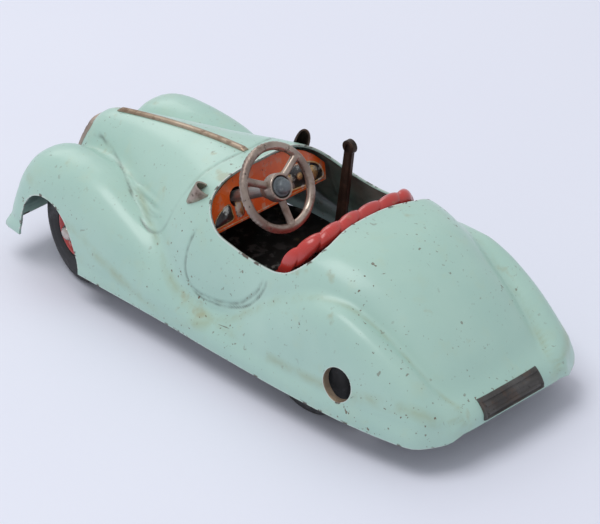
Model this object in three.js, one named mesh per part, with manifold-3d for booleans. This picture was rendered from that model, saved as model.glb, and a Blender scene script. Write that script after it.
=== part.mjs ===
// Wind-up tin toy: an open two-seat clockwork car in pressed tinplate.
// Millimetres, +X towards the nose, +Y to the car's left, +Z up, floor at z = 0.
import * as THREE from 'three';
import { mergeVertices } from 'three/addons/utils/BufferGeometryUtils.js';
import Module from 'manifold-3d';

const wasm = await Module();
wasm.setup();

// ---------------------------------------------------------------- dimensions
const WALL = 0.6;                 // pressed body skin
const TYRE_R = 13.0;              // outer radius of every tyre
const TYRE_BORE = 6.4;            // tyre seat on the red disc
const TYRE_W = 6.2;
const STUB_R = 1.1;               // wheel stubs and rear axle
const FRONT_X = 47.85;            // kingpin line
const KINGPIN_Y = 15.6;
const STUB_REACH = 5.1;           // kingpin to wheel centre plane
const REAR_X = -28.8;
const REAR_Y = 22.3;              // rear wheel centre plane
const STEER0 = -12.2 * Math.PI / 180;   // front wheels stand turned a little to the right
const ARM = 8.0;                  // knuckle arm, kingpin to track rod pin
const WHEEL_C = [-4.2, 8.0, 40.8];      // steering wheel centre
const COL_TILT = 30 * Math.PI / 180;    // column falls forward by this angle
const WHEEL_RIM_R = 9.45, WHEEL_TUBE_R = 1.05;
const CRANK_R = 4.0, CRANK0 = 25 * Math.PI / 180;
const ARBOR = [-45.2, 14.6];      // winding arbor (x, z)
const AXLE = [REAR_X, TYRE_R];    // rear axle (x, z)
const MODULE = 0.44, BIG_T = 28, SMALL_T = 10;
const KEYHOLE = [-42.6, 15.4], KEYHOLE_R = 4.0;
const PLATE_Y = 8.0;              // motor plates, inner face
const PLATE_T = 0.8;
const CHASSIS_Z0 = 7.2, CHASSIS_Z1 = 7.8;
const FLOOR_Z0 = 13.0, FLOOR_Z1 = 13.6;
const SHIFT_X = -0.35;             // brings the middle of the length to x = 0
const ZB = 4.0;                   // level the body sections are built from

// ---------------------------------------------------------------- body form
// Control tables along x. Hm, Wm, a, b: main hull height, half width and section powers.
// Yf, Wf, Hf: front wing and sill. Yr, Wr, Hr: rear wing. Ha: apron between the front wings.
// zb: height of the bottom edge.
const TABLE = {
  Hm: [[-70, 5], [-69.2, 7], [-68.4, 9], [-67, 12], [-64, 16.2], [-60, 21.2], [-54, 27.3], [-48, 31.8], [-42, 34.9], [-36, 36.8], [-30, 37.7], [-24.5, 38], [-15, 38.8], [-5, 39.2], [4, 39.5], [9, 39.5], [13, 39.5], [20, 39.2], [30, 38.2], [40, 36.7], [50, 34.8], [57, 33.2], [60, 32.3], [62.2, 31], [64, 27.5], [65.5, 18], [66.5, 8]],
  Wm: [[-70, 12], [-68.5, 16], [-67, 18], [-64, 19.5], [-60, 20.5], [-54, 21.5], [-48, 22.5], [-40, 23.4], [-30, 24], [-20, 24.4], [-8, 24.6], [0, 25], [8, 25.5], [15, 24.5], [22, 22.8], [30, 20.6], [40, 17.6], [50, 14.4], [57, 12.2], [62, 10.4], [65, 9.2], [67, 8]],
  a: [[-70, 3.6], [-60, 3.2], [-48, 3.2], [-36, 4], [-26, 5], [-18, 4.2], [-8, 3.2], [0, 3], [8, 3], [15, 2.6], [22, 2.2], [30, 1.95], [40, 1.85], [50, 1.8], [60, 1.9], [67, 2.2]],
  b: [[-70, 2.2], [-60, 2.3], [-48, 2.5], [-36, 3.4], [-26, 4], [-18, 3.4], [-8, 3], [0, 2.9], [8, 2.8], [15, 2.6], [22, 2.4], [30, 2.3], [40, 2.3], [50, 2.4], [60, 2.6], [67, 3]],
  Yf: [[-72, 17], [-67, 17.5], [-63.4, 19.3], [-57, 20.5], [-50, 21], [-42.7, 21.3], [-24, 21.4], [-10, 21.3], [0, 21], [10, 20.4], [20, 19.6], [30, 18.6], [40, 17.6], [50, 16.8], [60, 16.6], [70, 17.2]],
  Wf: [[-72, 0.5], [-68, 1.5], [-67, 2.8], [-65.8, 4.5], [-63.4, 5.6], [-57, 5.9], [-50, 6.3], [-42.7, 6.8], [-33, 7.2], [-24, 7.4], [-10, 7.6], [0, 7.9], [10, 8.2], [20, 8.8], [30, 9.7], [40, 10.6], [50, 11.3], [58, 11.4], [63, 10.7], [66, 9.6], [68, 7.9], [69, 6]],
  Hf: [[-72, 6], [-68, 7], [-60, 9.5], [-20, 10.2], [-10, 11], [-5, 11.8], [0, 12.9], [5, 14.4], [10, 16.2], [15, 18.3], [20, 20.6], [25, 22.9], [30, 25], [35, 27], [40, 28.7], [45, 29.6], [50, 30], [54, 30], [58, 29.5], [61, 28.6], [64, 26.8], [66, 24.2], [67.5, 20.2], [68.5, 15], [69.2, 8]],
  Yr: [[-72, 16.5], [-67, 17.5], [-63.4, 19.5], [-57, 20.7], [-50, 21.4], [-42.7, 21.8], [-30, 22.2], [-18, 22.4], [-5, 22.4], [5, 22]],
  Wr: [[-72, 0.5], [-68, 1.5], [-67, 2.8], [-65.8, 4.5], [-63.4, 5.6], [-57, 6], [-50, 6.4], [-42.7, 6.6], [-30, 6.5], [-15, 6], [-5, 5.4], [5, 5]],
  Hr: [[-71, 5], [-68.6, 8], [-67.4, 11], [-65.4, 14.4], [-61.5, 18.4], [-56, 22.6], [-50, 26], [-44, 28.6], [-38, 29.9], [-32, 29.7], [-26, 27.8], [-20, 24.7], [-14, 20.7], [-8, 16.4], [-2, 12.6], [4, 9.5], [10, 7]],
  Ha: [[20, 10], [35, 17], [45, 20], [55, 20.5], [60, 19.5], [64, 16.5], [66, 12.5], [67.5, 8], [69, 5]],
  zb: [[-70, 7.6], [-66, 7.5], [-60, 7.3], [44, 7.3], [54, 8], [60, 9], [64, 9], [70, 8.4]],
};

function pchip(pts) {
  const n = pts.length, x = pts.map(p => p[0]), y = pts.map(p => p[1]);
  const h = [], s = [], d = new Array(n).fill(0);
  for (let i = 0; i < n - 1; i++) { h.push(x[i + 1] - x[i]); s.push((y[i + 1] - y[i]) / h[i]); }
  for (let i = 1; i < n - 1; i++) {
    if (s[i - 1] * s[i] <= 0) continue;
    const w1 = 2 * h[i] + h[i - 1], w2 = h[i] + 2 * h[i - 1];
    d[i] = (w1 + w2) / (w1 / s[i - 1] + w2 / s[i]);
  }
  const edge = (h0, h1, m0, m1) => {
    let v = ((2 * h0 + h1) * m0 - h0 * m1) / (h0 + h1);
    if (Math.sign(v) !== Math.sign(m0)) v = 0;
    else if (Math.sign(m0) !== Math.sign(m1) && Math.abs(v) > 3 * Math.abs(m0)) v = 3 * m0;
    return v;
  };
  d[0] = edge(h[0], h[1], s[0], s[1]);
  d[n - 1] = edge(h[n - 2], h[n - 3], s[n - 2], s[n - 3]);
  return X => {
    X = Math.min(Math.max(X, x[0]), x[n - 1]);
    let lo = 0, hi = n - 1;
    while (hi - lo > 1) { const m = (lo + hi) >> 1; if (x[m] <= X) lo = m; else hi = m; }
    const t = (X - x[lo]) / h[lo], t2 = t * t, t3 = t2 * t;
    return y[lo] * (2 * t3 - 3 * t2 + 1) + h[lo] * d[lo] * (t3 - 2 * t2 + t) + y[lo + 1] * (3 * t2 - 2 * t3) + h[lo] * d[lo + 1] * (t3 - t2);
  };
}
const F = {};
for (const k in TABLE) F[k] = pchip(TABLE[k]);
function section(y, z, Y, W, H, a, b) {
  const u0 = Math.abs(Math.abs(y) - Y), w0 = Math.max(z - ZB, 0), hh = Math.max(H - ZB, 0.4);
  const r = Math.max(Math.pow(Math.pow(u0 / W, a) + Math.pow(w0 / hh, b), 2 / (a + b)), 1e-6);
  return r > 0.02 ? (r - 1) / r * Math.hypot(u0, w0) : -Math.min(W, H - ZB);
}
function smin(a, b, k) { const h = Math.max(k - Math.abs(a - b), 0) / k; return Math.min(a, b) - h * h * k * 0.25; }
function field(x, y, z) {
  const m = section(y, z, 0, F.Wm(x), F.Hm(x), F.a(x), F.b(x));
  const f = section(y, z, F.Yf(x), F.Wf(x), F.Hf(x), 2.45, 2.6);
  const r = section(y, z, F.Yr(x), F.Wr(x), F.Hr(x), 2.2, 2.4);
  const g = x < 20 ? 50 : section(y, z, 0, 21, F.Ha(x), 4.0, 2.2);
  const ends = Math.max(x - 69.3, -69.0 - x);
  return -smin(-smin(smin(smin(m, g, 4.0), f, 3.4), r, 3.2), -ends, 2.0);
}
const step = t => { t = Math.min(Math.max(t, 0), 1); return t * t * (3 - 2 * t); };
function lift(x, y) { return F.zb(x) + 1.4 * step((20.5 - Math.abs(y)) / 4) * Math.min(Math.max((-60 - x) / 5, 0), 1) - ZB; }
function drop(x, y, z) { return z + lift(x, y) * (1 - step((z - ZB) / 14)); }
function skin(x, y, zd) {           // signed distance-like value of the finished outer surface
  const L = lift(x, y); let z = zd;
  for (let i = 0; i < 14; i++) z = zd - L * (1 - step((z - ZB) / 14));
  if (z < ZB) z = ZB;
  return field(x, y, z);
}
function shoot(o, d, f = skin, tmax = 60) {   // outermost crossing along a ray from inside
  let lo = 0.5, hi = tmax, last = 0.5;
  const n = 80;
  for (let i = 0; i < n; i++) {
    const t = 0.5 + (tmax - 0.5) * i / (n - 1);
    if (f(o[0] + d[0] * t, o[1] + d[1] * t, o[2] + d[2] * t) < 0) last = i;
  }
  lo = 0.5 + (tmax - 0.5) * last / (n - 1); hi = 0.5 + (tmax - 0.5) * (last + 1) / (n - 1);
  for (let i = 0; i < 30; i++) {
    const t = (lo + hi) / 2;
    if (f(o[0] + d[0] * t, o[1] + d[1] * t, o[2] + d[2] * t) < 0) lo = t; else hi = t;
  }
  const t = (lo + hi) / 2;
  return [o[0] + d[0] * t, o[1] + d[1] * t, o[2] + d[2] * t];
}
function skinNormal(p) {
  const e = 0.05, [x, y, z] = p;
  const n = [skin(x + e, y, z) - skin(x - e, y, z), skin(x, y + e, z) - skin(x, y - e, z), skin(x, y, z + e) - skin(x, y, z - e)];
  const l = Math.hypot(...n) || 1;
  return n.map(v => v / l);
}
const onSkin = (x, y, z) => { const o = [x, 0, 20], d = [0, y, z - 20], l = Math.hypot(...d); return shoot(o, d.map(v => v / l)); };

// ---------------------------------------------------------------- helpers
const group = new THREE.Group();
function add(name, geo, color, roughness = 0.5, metalness = 0.0) {
  const m = new THREE.Mesh(geo, new THREE.MeshStandardMaterial({ color, roughness, metalness }));
  m.name = name; group.add(m); return m;
}
function bare(geo) { const g = geo.clone(); g.deleteAttribute('normal'); if (g.getAttribute('uv')) g.deleteAttribute('uv'); return mergeVertices(g, 1e-5); }
function solid(geo) {
  const g = bare(geo);
  return new wasm.Manifold(new wasm.Mesh({ numProp: 3, vertProperties: new Float32Array(g.attributes.position.array), triVerts: new Uint32Array(g.index.array) }));
}
function geom(man) {
  const m = man.getMesh(), g = new THREE.BufferGeometry();
  g.setAttribute('position', new THREE.BufferAttribute(new Float32Array(m.vertProperties), 3));
  g.setIndex(Array.from(m.triVerts)); g.computeVertexNormals(); return g;
}
const join = (...gs) => geom(gs.slice(1).reduce((a, b) => a.add(solid(b)), solid(gs[0])));
const cut = (g, ...cs) => geom(cs.reduce((a, c) => a.subtract(solid(c)), solid(g)));
function mesh(verts, tris) {
  const g = new THREE.BufferGeometry();
  g.setAttribute('position', new THREE.BufferAttribute(new Float32Array(verts.flat()), 3));
  g.setIndex(tris.flat()); g.computeVertexNormals(); return g;
}
function loft(loops) {              // closed loops, same count, capped at both ends
  const n = loops[0].length, V = loops.flat(), T = [];
  for (let i = 0; i < loops.length - 1; i++) for (let j = 0; j < n; j++) {
    const a = i * n + j, b = i * n + (j + 1) % n, c = a + n, d = b + n;
    T.push([a, b, c], [b, d, c]);
  }
  const tri2 = THREE.ShapeUtils.triangulateShape(flat2(loops[0]), []);
  const tri3 = THREE.ShapeUtils.triangulateShape(flat2(loops[loops.length - 1]), []);
  const o = (loops.length - 1) * n;
  for (const t of tri2) T.push([t[0], t[2], t[1]]);
  for (const t of tri3) T.push([o + t[0], o + t[1], o + t[2]]);
  const g = mesh(V, T);
  return volume(g) < 0 ? mesh(V, T.map(t => [t[0], t[2], t[1]])) : g;
}
function flat2(loop) {              // a loop in its own plane, as 2-D points
  const c = loop.reduce((a, p) => a.map((v, i) => v + p[i] / loop.length), [0, 0, 0]);
  let nx = 0, ny = 0, nz = 0;
  for (let i = 0; i < loop.length; i++) {
    const p = loop[i], q = loop[(i + 1) % loop.length];
    nx += (p[1] - q[1]) * (p[2] + q[2]); ny += (p[2] - q[2]) * (p[0] + q[0]); nz += (p[0] - q[0]) * (p[1] + q[1]);
  }
  const n = new THREE.Vector3(nx, ny, nz).normalize();
  const u = new THREE.Vector3(loop[0][0] - c[0], loop[0][1] - c[1], loop[0][2] - c[2]);
  u.addScaledVector(n, -u.dot(n)).normalize();
  const v = new THREE.Vector3().crossVectors(n, u);
  return loop.map(p => { const w = new THREE.Vector3(p[0] - c[0], p[1] - c[1], p[2] - c[2]); return new THREE.Vector2(w.dot(u), w.dot(v)); });
}
function volume(g) {
  const p = g.attributes.position.array, ix = g.index.array; let v = 0;
  for (let i = 0; i < ix.length; i += 3) {
    const [a, b, c] = [ix[i] * 3, ix[i + 1] * 3, ix[i + 2] * 3];
    v += p[a] * (p[b + 1] * p[c + 2] - p[b + 2] * p[c + 1]) - p[a + 1] * (p[b] * p[c + 2] - p[b + 2] * p[c]) + p[a + 2] * (p[b] * p[c + 1] - p[b + 1] * p[c]);
  }
  return v / 6;
}
function shape(pts, holes = []) {
  const s = new THREE.Shape(pts.map(p => new THREE.Vector2(p[0], p[1])));
  for (const h of holes) s.holes.push(new THREE.Path(h.map(p => new THREE.Vector2(p[0], p[1]))));
  return s;
}
const circle = (cx, cy, r, n = 20) => Array.from({ length: n }, (_, i) => [cx + r * Math.cos(2 * Math.PI * i / n), cy + r * Math.sin(2 * Math.PI * i / n)]);
const capsule = (x0, y0, r0, x1, y1, r1, n = 8) => {
  const a = Math.atan2(y1 - y0, x1 - x0), p = [];
  for (let i = 0; i <= n; i++) { const t = a + Math.PI / 2 + Math.PI * i / n; p.push([x0 + r0 * Math.cos(t), y0 + r0 * Math.sin(t)]); }
  for (let i = 0; i <= n; i++) { const t = a - Math.PI / 2 + Math.PI * i / n; p.push([x1 + r1 * Math.cos(t), y1 + r1 * Math.sin(t)]); }
  return p;
};
const rect = (x0, y0, x1, y1) => [[x0, y0], [x1, y0], [x1, y1], [x0, y1]];
function slab(s, depth) { return new THREE.ExtrudeGeometry(s, { depth, bevelEnabled: false, curveSegments: 1, steps: 1 }); }
const XY = (s, z0, z1) => slab(s, z1 - z0).translate(0, 0, z0);
const XZ = (s, y0, y1) => slab(s, y1 - y0).rotateX(Math.PI / 2).translate(0, y1, 0);
const YZ = (s, x0, x1) => slab(s, x1 - x0).applyMatrix4(new THREE.Matrix4().makeBasis(new THREE.Vector3(0, 1, 0), new THREE.Vector3(0, 0, 1), new THREE.Vector3(1, 0, 0))).translate(x0, 0, 0);
function lathe(profile, seg = 24) { return new THREE.LatheGeometry(profile.map(p => new THREE.Vector2(p[0], p[1])), seg); }
function aim(geo, from, dir) {      // carries a lathe's own +Y axis onto dir, its origin to from
  const q = new THREE.Quaternion().setFromUnitVectors(new THREE.Vector3(0, 1, 0), new THREE.Vector3(...dir).normalize());
  return geo.applyQuaternion(q).translate(...from);
}
function rod(r, from, to, seg = 16, c = 0.15) {
  const d = [to[0] - from[0], to[1] - from[1], to[2] - from[2]], L = Math.hypot(...d);
  return aim(lathe([[0, 0], [r - c, 0], [r, c], [r, L - c], [r - c, L], [0, L]], seg), from, d);
}
function patch(nu, nv, ray, off0, off1) {   // a slab that follows the skin
  const lo = [], hi = [];
  for (let i = 0; i <= nu; i++) for (let j = 0; j <= nv; j++) {
    const u = i / nu, v = j / nv, [o, d] = ray(u, v), p = shoot(o, d), n = skinNormal(p);
    const a = typeof off0 === 'function' ? off0(u, v) : off0, b = typeof off1 === 'function' ? off1(u, v) : off1;
    lo.push(p.map((c, k) => c + n[k] * a)); hi.push(p.map((c, k) => c + n[k] * b));
  }
  return closeSheet(lo, hi, nu, nv);
}
function closeSheet(lo, hi, nu, nv) {
  const V = [...lo, ...hi], o = lo.length, w = nv + 1, T = [];
  for (let i = 0; i < nu; i++) for (let j = 0; j < nv; j++) {
    const a = i * w + j, b = a + 1, c = a + w, d = c + 1;
    T.push([a, c, b], [b, c, d], [o + a, o + b, o + c], [o + b, o + d, o + c]);
  }
  const edge = [];
  for (let j = 0; j < nv; j++) edge.push([j, j + 1]);
  for (let i = 0; i < nu; i++) edge.push([i * w + nv, (i + 1) * w + nv]);
  for (let j = nv; j > 0; j--) edge.push([nu * w + j, nu * w + j - 1]);
  for (let i = nu; i > 0; i--) edge.push([i * w, (i - 1) * w]);
  for (const [p, q] of edge) T.push([p, q, o + p], [q, o + q, o + p]);
  const g = mesh(V, T);
  return volume(g) < 0 ? mesh(V, T.map(t => [t[0], t[2], t[1]])) : g;
}

// ---------------------------------------------------------------- body shell
const MINT = 0xA9CDB9, RED = 0xC8382F, NICKEL = 0x9A948C, BLACK = 0x1B1A1A, RUBBER = 0x2B2A2C, STEEL = 0x8B8C8E, BRASS = 0xB9935A, BROWN = 0x4A3A30, GREY = 0x6E7275, ORANGE = 0xC4622B, DARK = 0x4B4846;
function bodyGrid(nMid, nCap, nPhi) {
  const XC = 44, st = [];
  for (let i = 0; i < nCap; i++) st.push([-XC, -Math.PI / 2 * (1 - i / nCap)]);
  for (let i = 0; i <= nMid; i++) st.push([-XC + 2 * XC * i / nMid, 0]);
  for (let i = 1; i <= nCap; i++) st.push([XC, Math.PI / 2 * i / nCap]);
  const P = st.map(([xs, be]) => Array.from({ length: nPhi + 1 }, (_, j) => {
    const ph = Math.PI * j / nPhi, d = [Math.sin(be), Math.cos(be) * Math.cos(ph), Math.cos(be) * Math.sin(ph)];
    const p = shoot([xs, 0, ZB], d, field);
    return [p[0], p[1], drop(p[0], p[1], p[2])];
  }));
  return P;
}
function bodySolid(P, t) {
  const nr = P.length, nc = P[0].length, N = P.map(r => r.map(() => [0, 0, 0]));
  const acc = (i, j, n) => { for (let k = 0; k < 3; k++) N[i][j][k] += n[k]; };
  for (let i = 0; i < nr - 1; i++) for (let j = 0; j < nc - 1; j++) {
    const a = P[i][j], b = P[i + 1][j + 1], c = P[i + 1][j], d = P[i][j + 1];
    const u = b.map((v, k) => v - a[k]), w = d.map((v, k) => v - c[k]);
    let n = [u[1] * w[2] - u[2] * w[1], u[2] * w[0] - u[0] * w[2], u[0] * w[1] - u[1] * w[0]];
    const l = Math.hypot(...n) || 1; n = n.map(v => v / l);
    acc(i, j, n); acc(i + 1, j, n); acc(i, j + 1, n); acc(i + 1, j + 1, n);
  }
  const mid = N[Math.floor(nr / 2)][Math.floor(nc / 2)], sg = mid[2] < 0 ? -1 : 1;
  const V = [], id = [], pole = i => i === 0 || i === nr - 1;
  const sheet = (off) => P.map((r, i) => {
    if (pole(i)) {
      const p = r[Math.floor(nc / 2)], s = i === 0 ? -1 : 1;
      V.push([p[0] - s * off, p[1], p[2]]); const k = V.length - 1; return r.map(() => k);
    }
    return r.map((p, j) => {
      const n = N[i][j], l = sg * (Math.hypot(...n) || 1);
      const q = p.map((v, k) => v - off * n[k] / l);
      if (j === 0 || j === nc - 1) q[2] = p[2];
      V.push(q); return V.length - 1;
    });
  });
  const A = sheet(0), B = sheet(t), T = [];
  const tri = (a, b, c) => { if (a !== b && b !== c && a !== c) T.push([a, b, c]); };
  for (let i = 0; i < nr - 1; i++) for (let j = 0; j < nc - 1; j++) {
    tri(A[i][j], A[i][j + 1], A[i + 1][j]); tri(A[i][j + 1], A[i + 1][j + 1], A[i + 1][j]);
    tri(B[i][j], B[i + 1][j], B[i][j + 1]); tri(B[i][j + 1], B[i + 1][j], B[i + 1][j + 1]);
  }
  for (let i = 0; i < nr - 1; i++) {
    tri(A[i][0], A[i + 1][0], B[i][0]); tri(A[i + 1][0], B[i + 1][0], B[i][0]);
    const e = nc - 1;
    tri(A[i][e], B[i][e], A[i + 1][e]); tri(A[i + 1][e], B[i][e], B[i + 1][e]);
  }
  const g = mesh(V, T);
  return volume(g) < 0 ? mesh(V, T.map(t => [t[0], t[2], t[1]])) : g;
}
// cockpit rim, left half from the cowl centre to the rear centre
const RIM = [[9.3, 0, 38.6], [9.5, 5, 38.3], [9.6, 10, 37.4], [9.0, 14.4, 35.9], [6.9, 18.2, 34.2], [1.2, 21.9, 31.9], [-4, 22, 30.9], [-8, 21.6, 30.2], [-12, 21.0, 29.8], [-16, 21.1, 30.0], [-20, 21.2, 31.1], [-23.7, 19.8, 33.4], [-25.9, 17.2, 36.0], [-26, 14, 37.2], [-25.4, 11, 37.3], [-24.4, 7, 37.4], [-24.0, 3.5, 37.5], [-23.9, 0, 37.6]];
const rimX = pchip(RIM.map((p, i) => [i, p[0]])), rimY = pchip(RIM.map((p, i) => [i, p[1]])), rimZ = pchip(RIM.map((p, i) => [i, p[2]]));
function rimLoop(n) {
  const half = Array.from({ length: n + 1 }, (_, i) => { const s = (RIM.length - 1) * i / n; return onSkin(rimX(s), Math.max(rimY(s), 0), rimZ(s)); });
  return [...half, ...half.slice(1, -1).reverse().map(p => [p[0], -p[1], p[2]])];
}
const RIM_LOOP = rimLoop(18);
function rimCutter() {
  const N = RIM_LOOP.map(p => skinNormal(p));
  const lo = RIM_LOOP.map((p, i) => p.map((v, k) => v - 3 * N[i][k])), hi = RIM_LOOP.map((p, i) => p.map((v, k) => v + 7 * N[i][k]));
  const n = lo.length, V = [...lo, ...hi, [-8, 0, 29], [-8, 0, 60]], T = [];
  for (let i = 0; i < n; i++) {
    const j = (i + 1) % n;
    T.push([i, j, n + i], [j, n + j, n + i], [i, 2 * n, j], [n + i, n + j, 2 * n + 1]);
  }
  const g = mesh(V, T);
  return volume(g) < 0 ? mesh(V, T.map(t => [t[0], t[2], t[1]])) : g;
}
const ARCH = [[41.0, 0], [41.3, 8.6], [42.6, 12.0], [44.8, 15.8], [47.6, 18.7], [50.7, 20.5], [53.8, 21.2], [56.6, 21.0], [59.0, 20.0], [60.8, 18.0], [61.8, 15.0], [62.1, 11.5], [62.1, 6], [62.0, 0]];
{
  const shell = bodySolid(bodyGrid(25, 6, 24), WALL);
  const archL = XZ(shape(ARCH), 12.5, 40), archR = XZ(shape(ARCH), -40, -12.5);
  const key = XZ(shape(circle(KEYHOLE[0], KEYHOLE[1], KEYHOLE_R, 20)), 23.5, 34);
  const g = cut(shell, rimCutter(), archL, archR, key);
  add('body_shell', g, MINT, 0.35, 0.1);
}
// ---------------------------------------------------------------- chassis plate
{
  const out = [[-63.5, -18], [-60, -21.5], [-46, -24.5], [-46, -18.6], [-14.6, -18.6], [-14.6, -26.4], [33, -26.2], [33, -12.2], [60, -12.2], [63, -9], [63, 9], [60, 12.2], [33, 12.2], [33, 26.2], [-14.6, 26.4], [-14.6, 18.6], [-46, 18.6], [-46, 24.5], [-60, 21.5], [-63.5, 18]];
  add('base_plate', XY(shape(out, [circle(-59.5, 0, 1.35, 12), circle(20, 0, 1.35, 12)]), CHASSIS_Z0, CHASSIS_Z1), STEEL, 0.5, 0.7);
  for (const [n, x] of [['base_screw_rear', -59.5], ['base_screw_front', 20]])
    add(n, aim(lathe([[0, 0], [1.7, 0], [2.1, 0.5], [2.1, 1.0], [1.2, 1.0], [1.2, 4.4], [0, 4.4]], 12), [x, 0, CHASSIS_Z0 - 1.05], [0, 0, 1]), NICKEL, 0.4, 0.9);
}
// ---------------------------------------------------------------- trim on the shell
{
  const ray = (u, v) => { const x = 14.0 + (57.2 - 14.0) * u, y = (v - 0.5) * 1.7; return [[x, y, 20], [0, 0, 1]]; };
  add('bonnet_strip', patch(12, 1, ray, 0.15, 0.8), NICKEL, 0.45, 0.8);
}
{
  // upright grille of vertical bars on the nose
  const half = z => 6.9 * Math.pow(Math.max(1 - Math.pow(Math.abs(z - 19.5) / 11.6, 3.2), 0.02), 0.5);
  const nu = 8, nv = 12;
  const ray = (u, v) => { const z = 9.0 + 20.6 * u, w = half(z), y = (2 * v - 1) * w; return [[40, y, z], [1, 0, 0]]; };
  add('radiator_grille', patch(nu, nv, ray, 0.55, (u, v) => 1.0 + 0.35 * (Math.round(v * nv) % 2)), NICKEL, 0.4, 0.85);
}
for (const s of [1, -1]) {
  // headlamp: a pressed dome on the front of each wing
  const nu = 3, nv = 14, R = 3.3;
  const lo = [], hi = [];
  const at = (r, t) => { const p = shoot([40, s * 17.6 + r * Math.cos(t), 19.2 + r * Math.sin(t)], [1, 0, 0]); return p; };
  const V = [], T = [];
  const n0 = skinNormal(at(0, 0));
  const put = (r, t, h) => { const p = at(r, t); V.push([p[0] + h, p[1], p[2]]); return V.length - 1; };
  const rowsTop = [], rowsBot = [];
  const cTop = put(0, 0, 1.6), cBot = put(0, 0, 0.35);
  for (let i = 1; i <= nu; i++) { const r = R * i / nu, h = 0.5 + 1.1 * Math.sqrt(Math.max(1 - (i / nu) ** 2, 0)); rowsTop.push(Array.from({ length: nv }, (_, j) => put(r, 2 * Math.PI * j / nv, h))); }
  for (let i = 1; i <= nu; i++) { const r = R * i / nu; rowsBot.push(Array.from({ length: nv }, (_, j) => put(r, 2 * Math.PI * j / nv, 0.35))); }
  for (let j = 0; j < nv; j++) {
    const k = (j + 1) % nv;
    T.push([cTop, rowsTop[0][j], rowsTop[0][k]], [cBot, rowsBot[0][k], rowsBot[0][j]]);
    for (let i = 0; i < nu - 1; i++) {
      T.push([rowsTop[i][j], rowsTop[i + 1][j], rowsTop[i][k]], [rowsTop[i][k], rowsTop[i + 1][j], rowsTop[i + 1][k]]);
      T.push([rowsBot[i][j], rowsBot[i][k], rowsBot[i + 1][j]], [rowsBot[i][k], rowsBot[i + 1][k], rowsBot[i + 1][j]]);
    }
    T.push([rowsTop[nu - 1][j], rowsBot[nu - 1][j], rowsTop[nu - 1][k]], [rowsTop[nu - 1][k], rowsBot[nu - 1][j], rowsBot[nu - 1][k]]);
  }
  const g = mesh(V, T);
  add(s > 0 ? 'headlamp_left' : 'headlamp_right', volume(g) < 0 ? mesh(V, T.map(t => [t[0], t[2], t[1]])) : g, NICKEL, 0.35, 0.85);
}
{
  // rear number plate with a raised border
  const ray = (u, v) => [[-40, (2 * v - 1) * 9.4, 9.7 + 4.4 * u], [-1, 0, 0]];
  const bord = (u, v) => (u < 0.16 || u > 0.84 || v < 0.05 || v > 0.95) ? 1.0 : 0.75;
  add('number_plate_rear', patch(4, 8, ray, 0.15, 0.95), DARK, 0.5, 0.7);
}
for (const s of [1, -1]) {
  // windscreen clip: a folded teardrop hood, pointed at the front, its mouth facing the seats
  const n = 8, loops = [];
  const at = t => onSkin(15.2 - 3.9 * t, s * (17.4 - 2.4 * t), 35);
  const b0 = at(0), b1 = at(1), nn = skinNormal(at(0.5));
  const dv = b1.map((v, k) => v - b0[k]), dl = Math.hypot(...dv), D0 = dv.map(v => v / dl);
  const dot = nn[0] * D0[0] + nn[1] * D0[1] + nn[2] * D0[2], ur = nn.map((v, k) => v - dot * D0[k]), ul = Math.hypot(...ur), U = ur.map(v => v / ul);
  const X = [D0[1] * U[2] - D0[2] * U[1], D0[2] * U[0] - D0[0] * U[2], D0[0] * U[1] - D0[1] * U[0]];
  for (let i = 0; i <= 5; i++) {
    const t = i / 5, base = at(t), W = 0.5 + 1.3 * Math.sqrt(t), H = 0.6 + 3.3 * Math.pow(t, 0.9), th = 0.45, L = [];
    const pt = (a, w, h) => [0, 1, 2].map(k => base[k] + U[k] * 0.5 + X[k] * w * Math.cos(a) + U[k] * h * Math.sin(a));
    for (let k = 0; k <= n; k++) L.push(pt(Math.PI * k / n, W, H));
    for (let k = n; k >= 0; k--) L.push(pt(Math.PI * k / n, W - Math.min(th, W * 0.6), H - Math.min(th, H * 0.6)));
    loops.push(L);
  }
  add(s > 0 ? 'windscreen_clip_left' : 'windscreen_clip_right', loft(loops), s > 0 ? NICKEL : BROWN, 0.5, 0.7);
}
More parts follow.
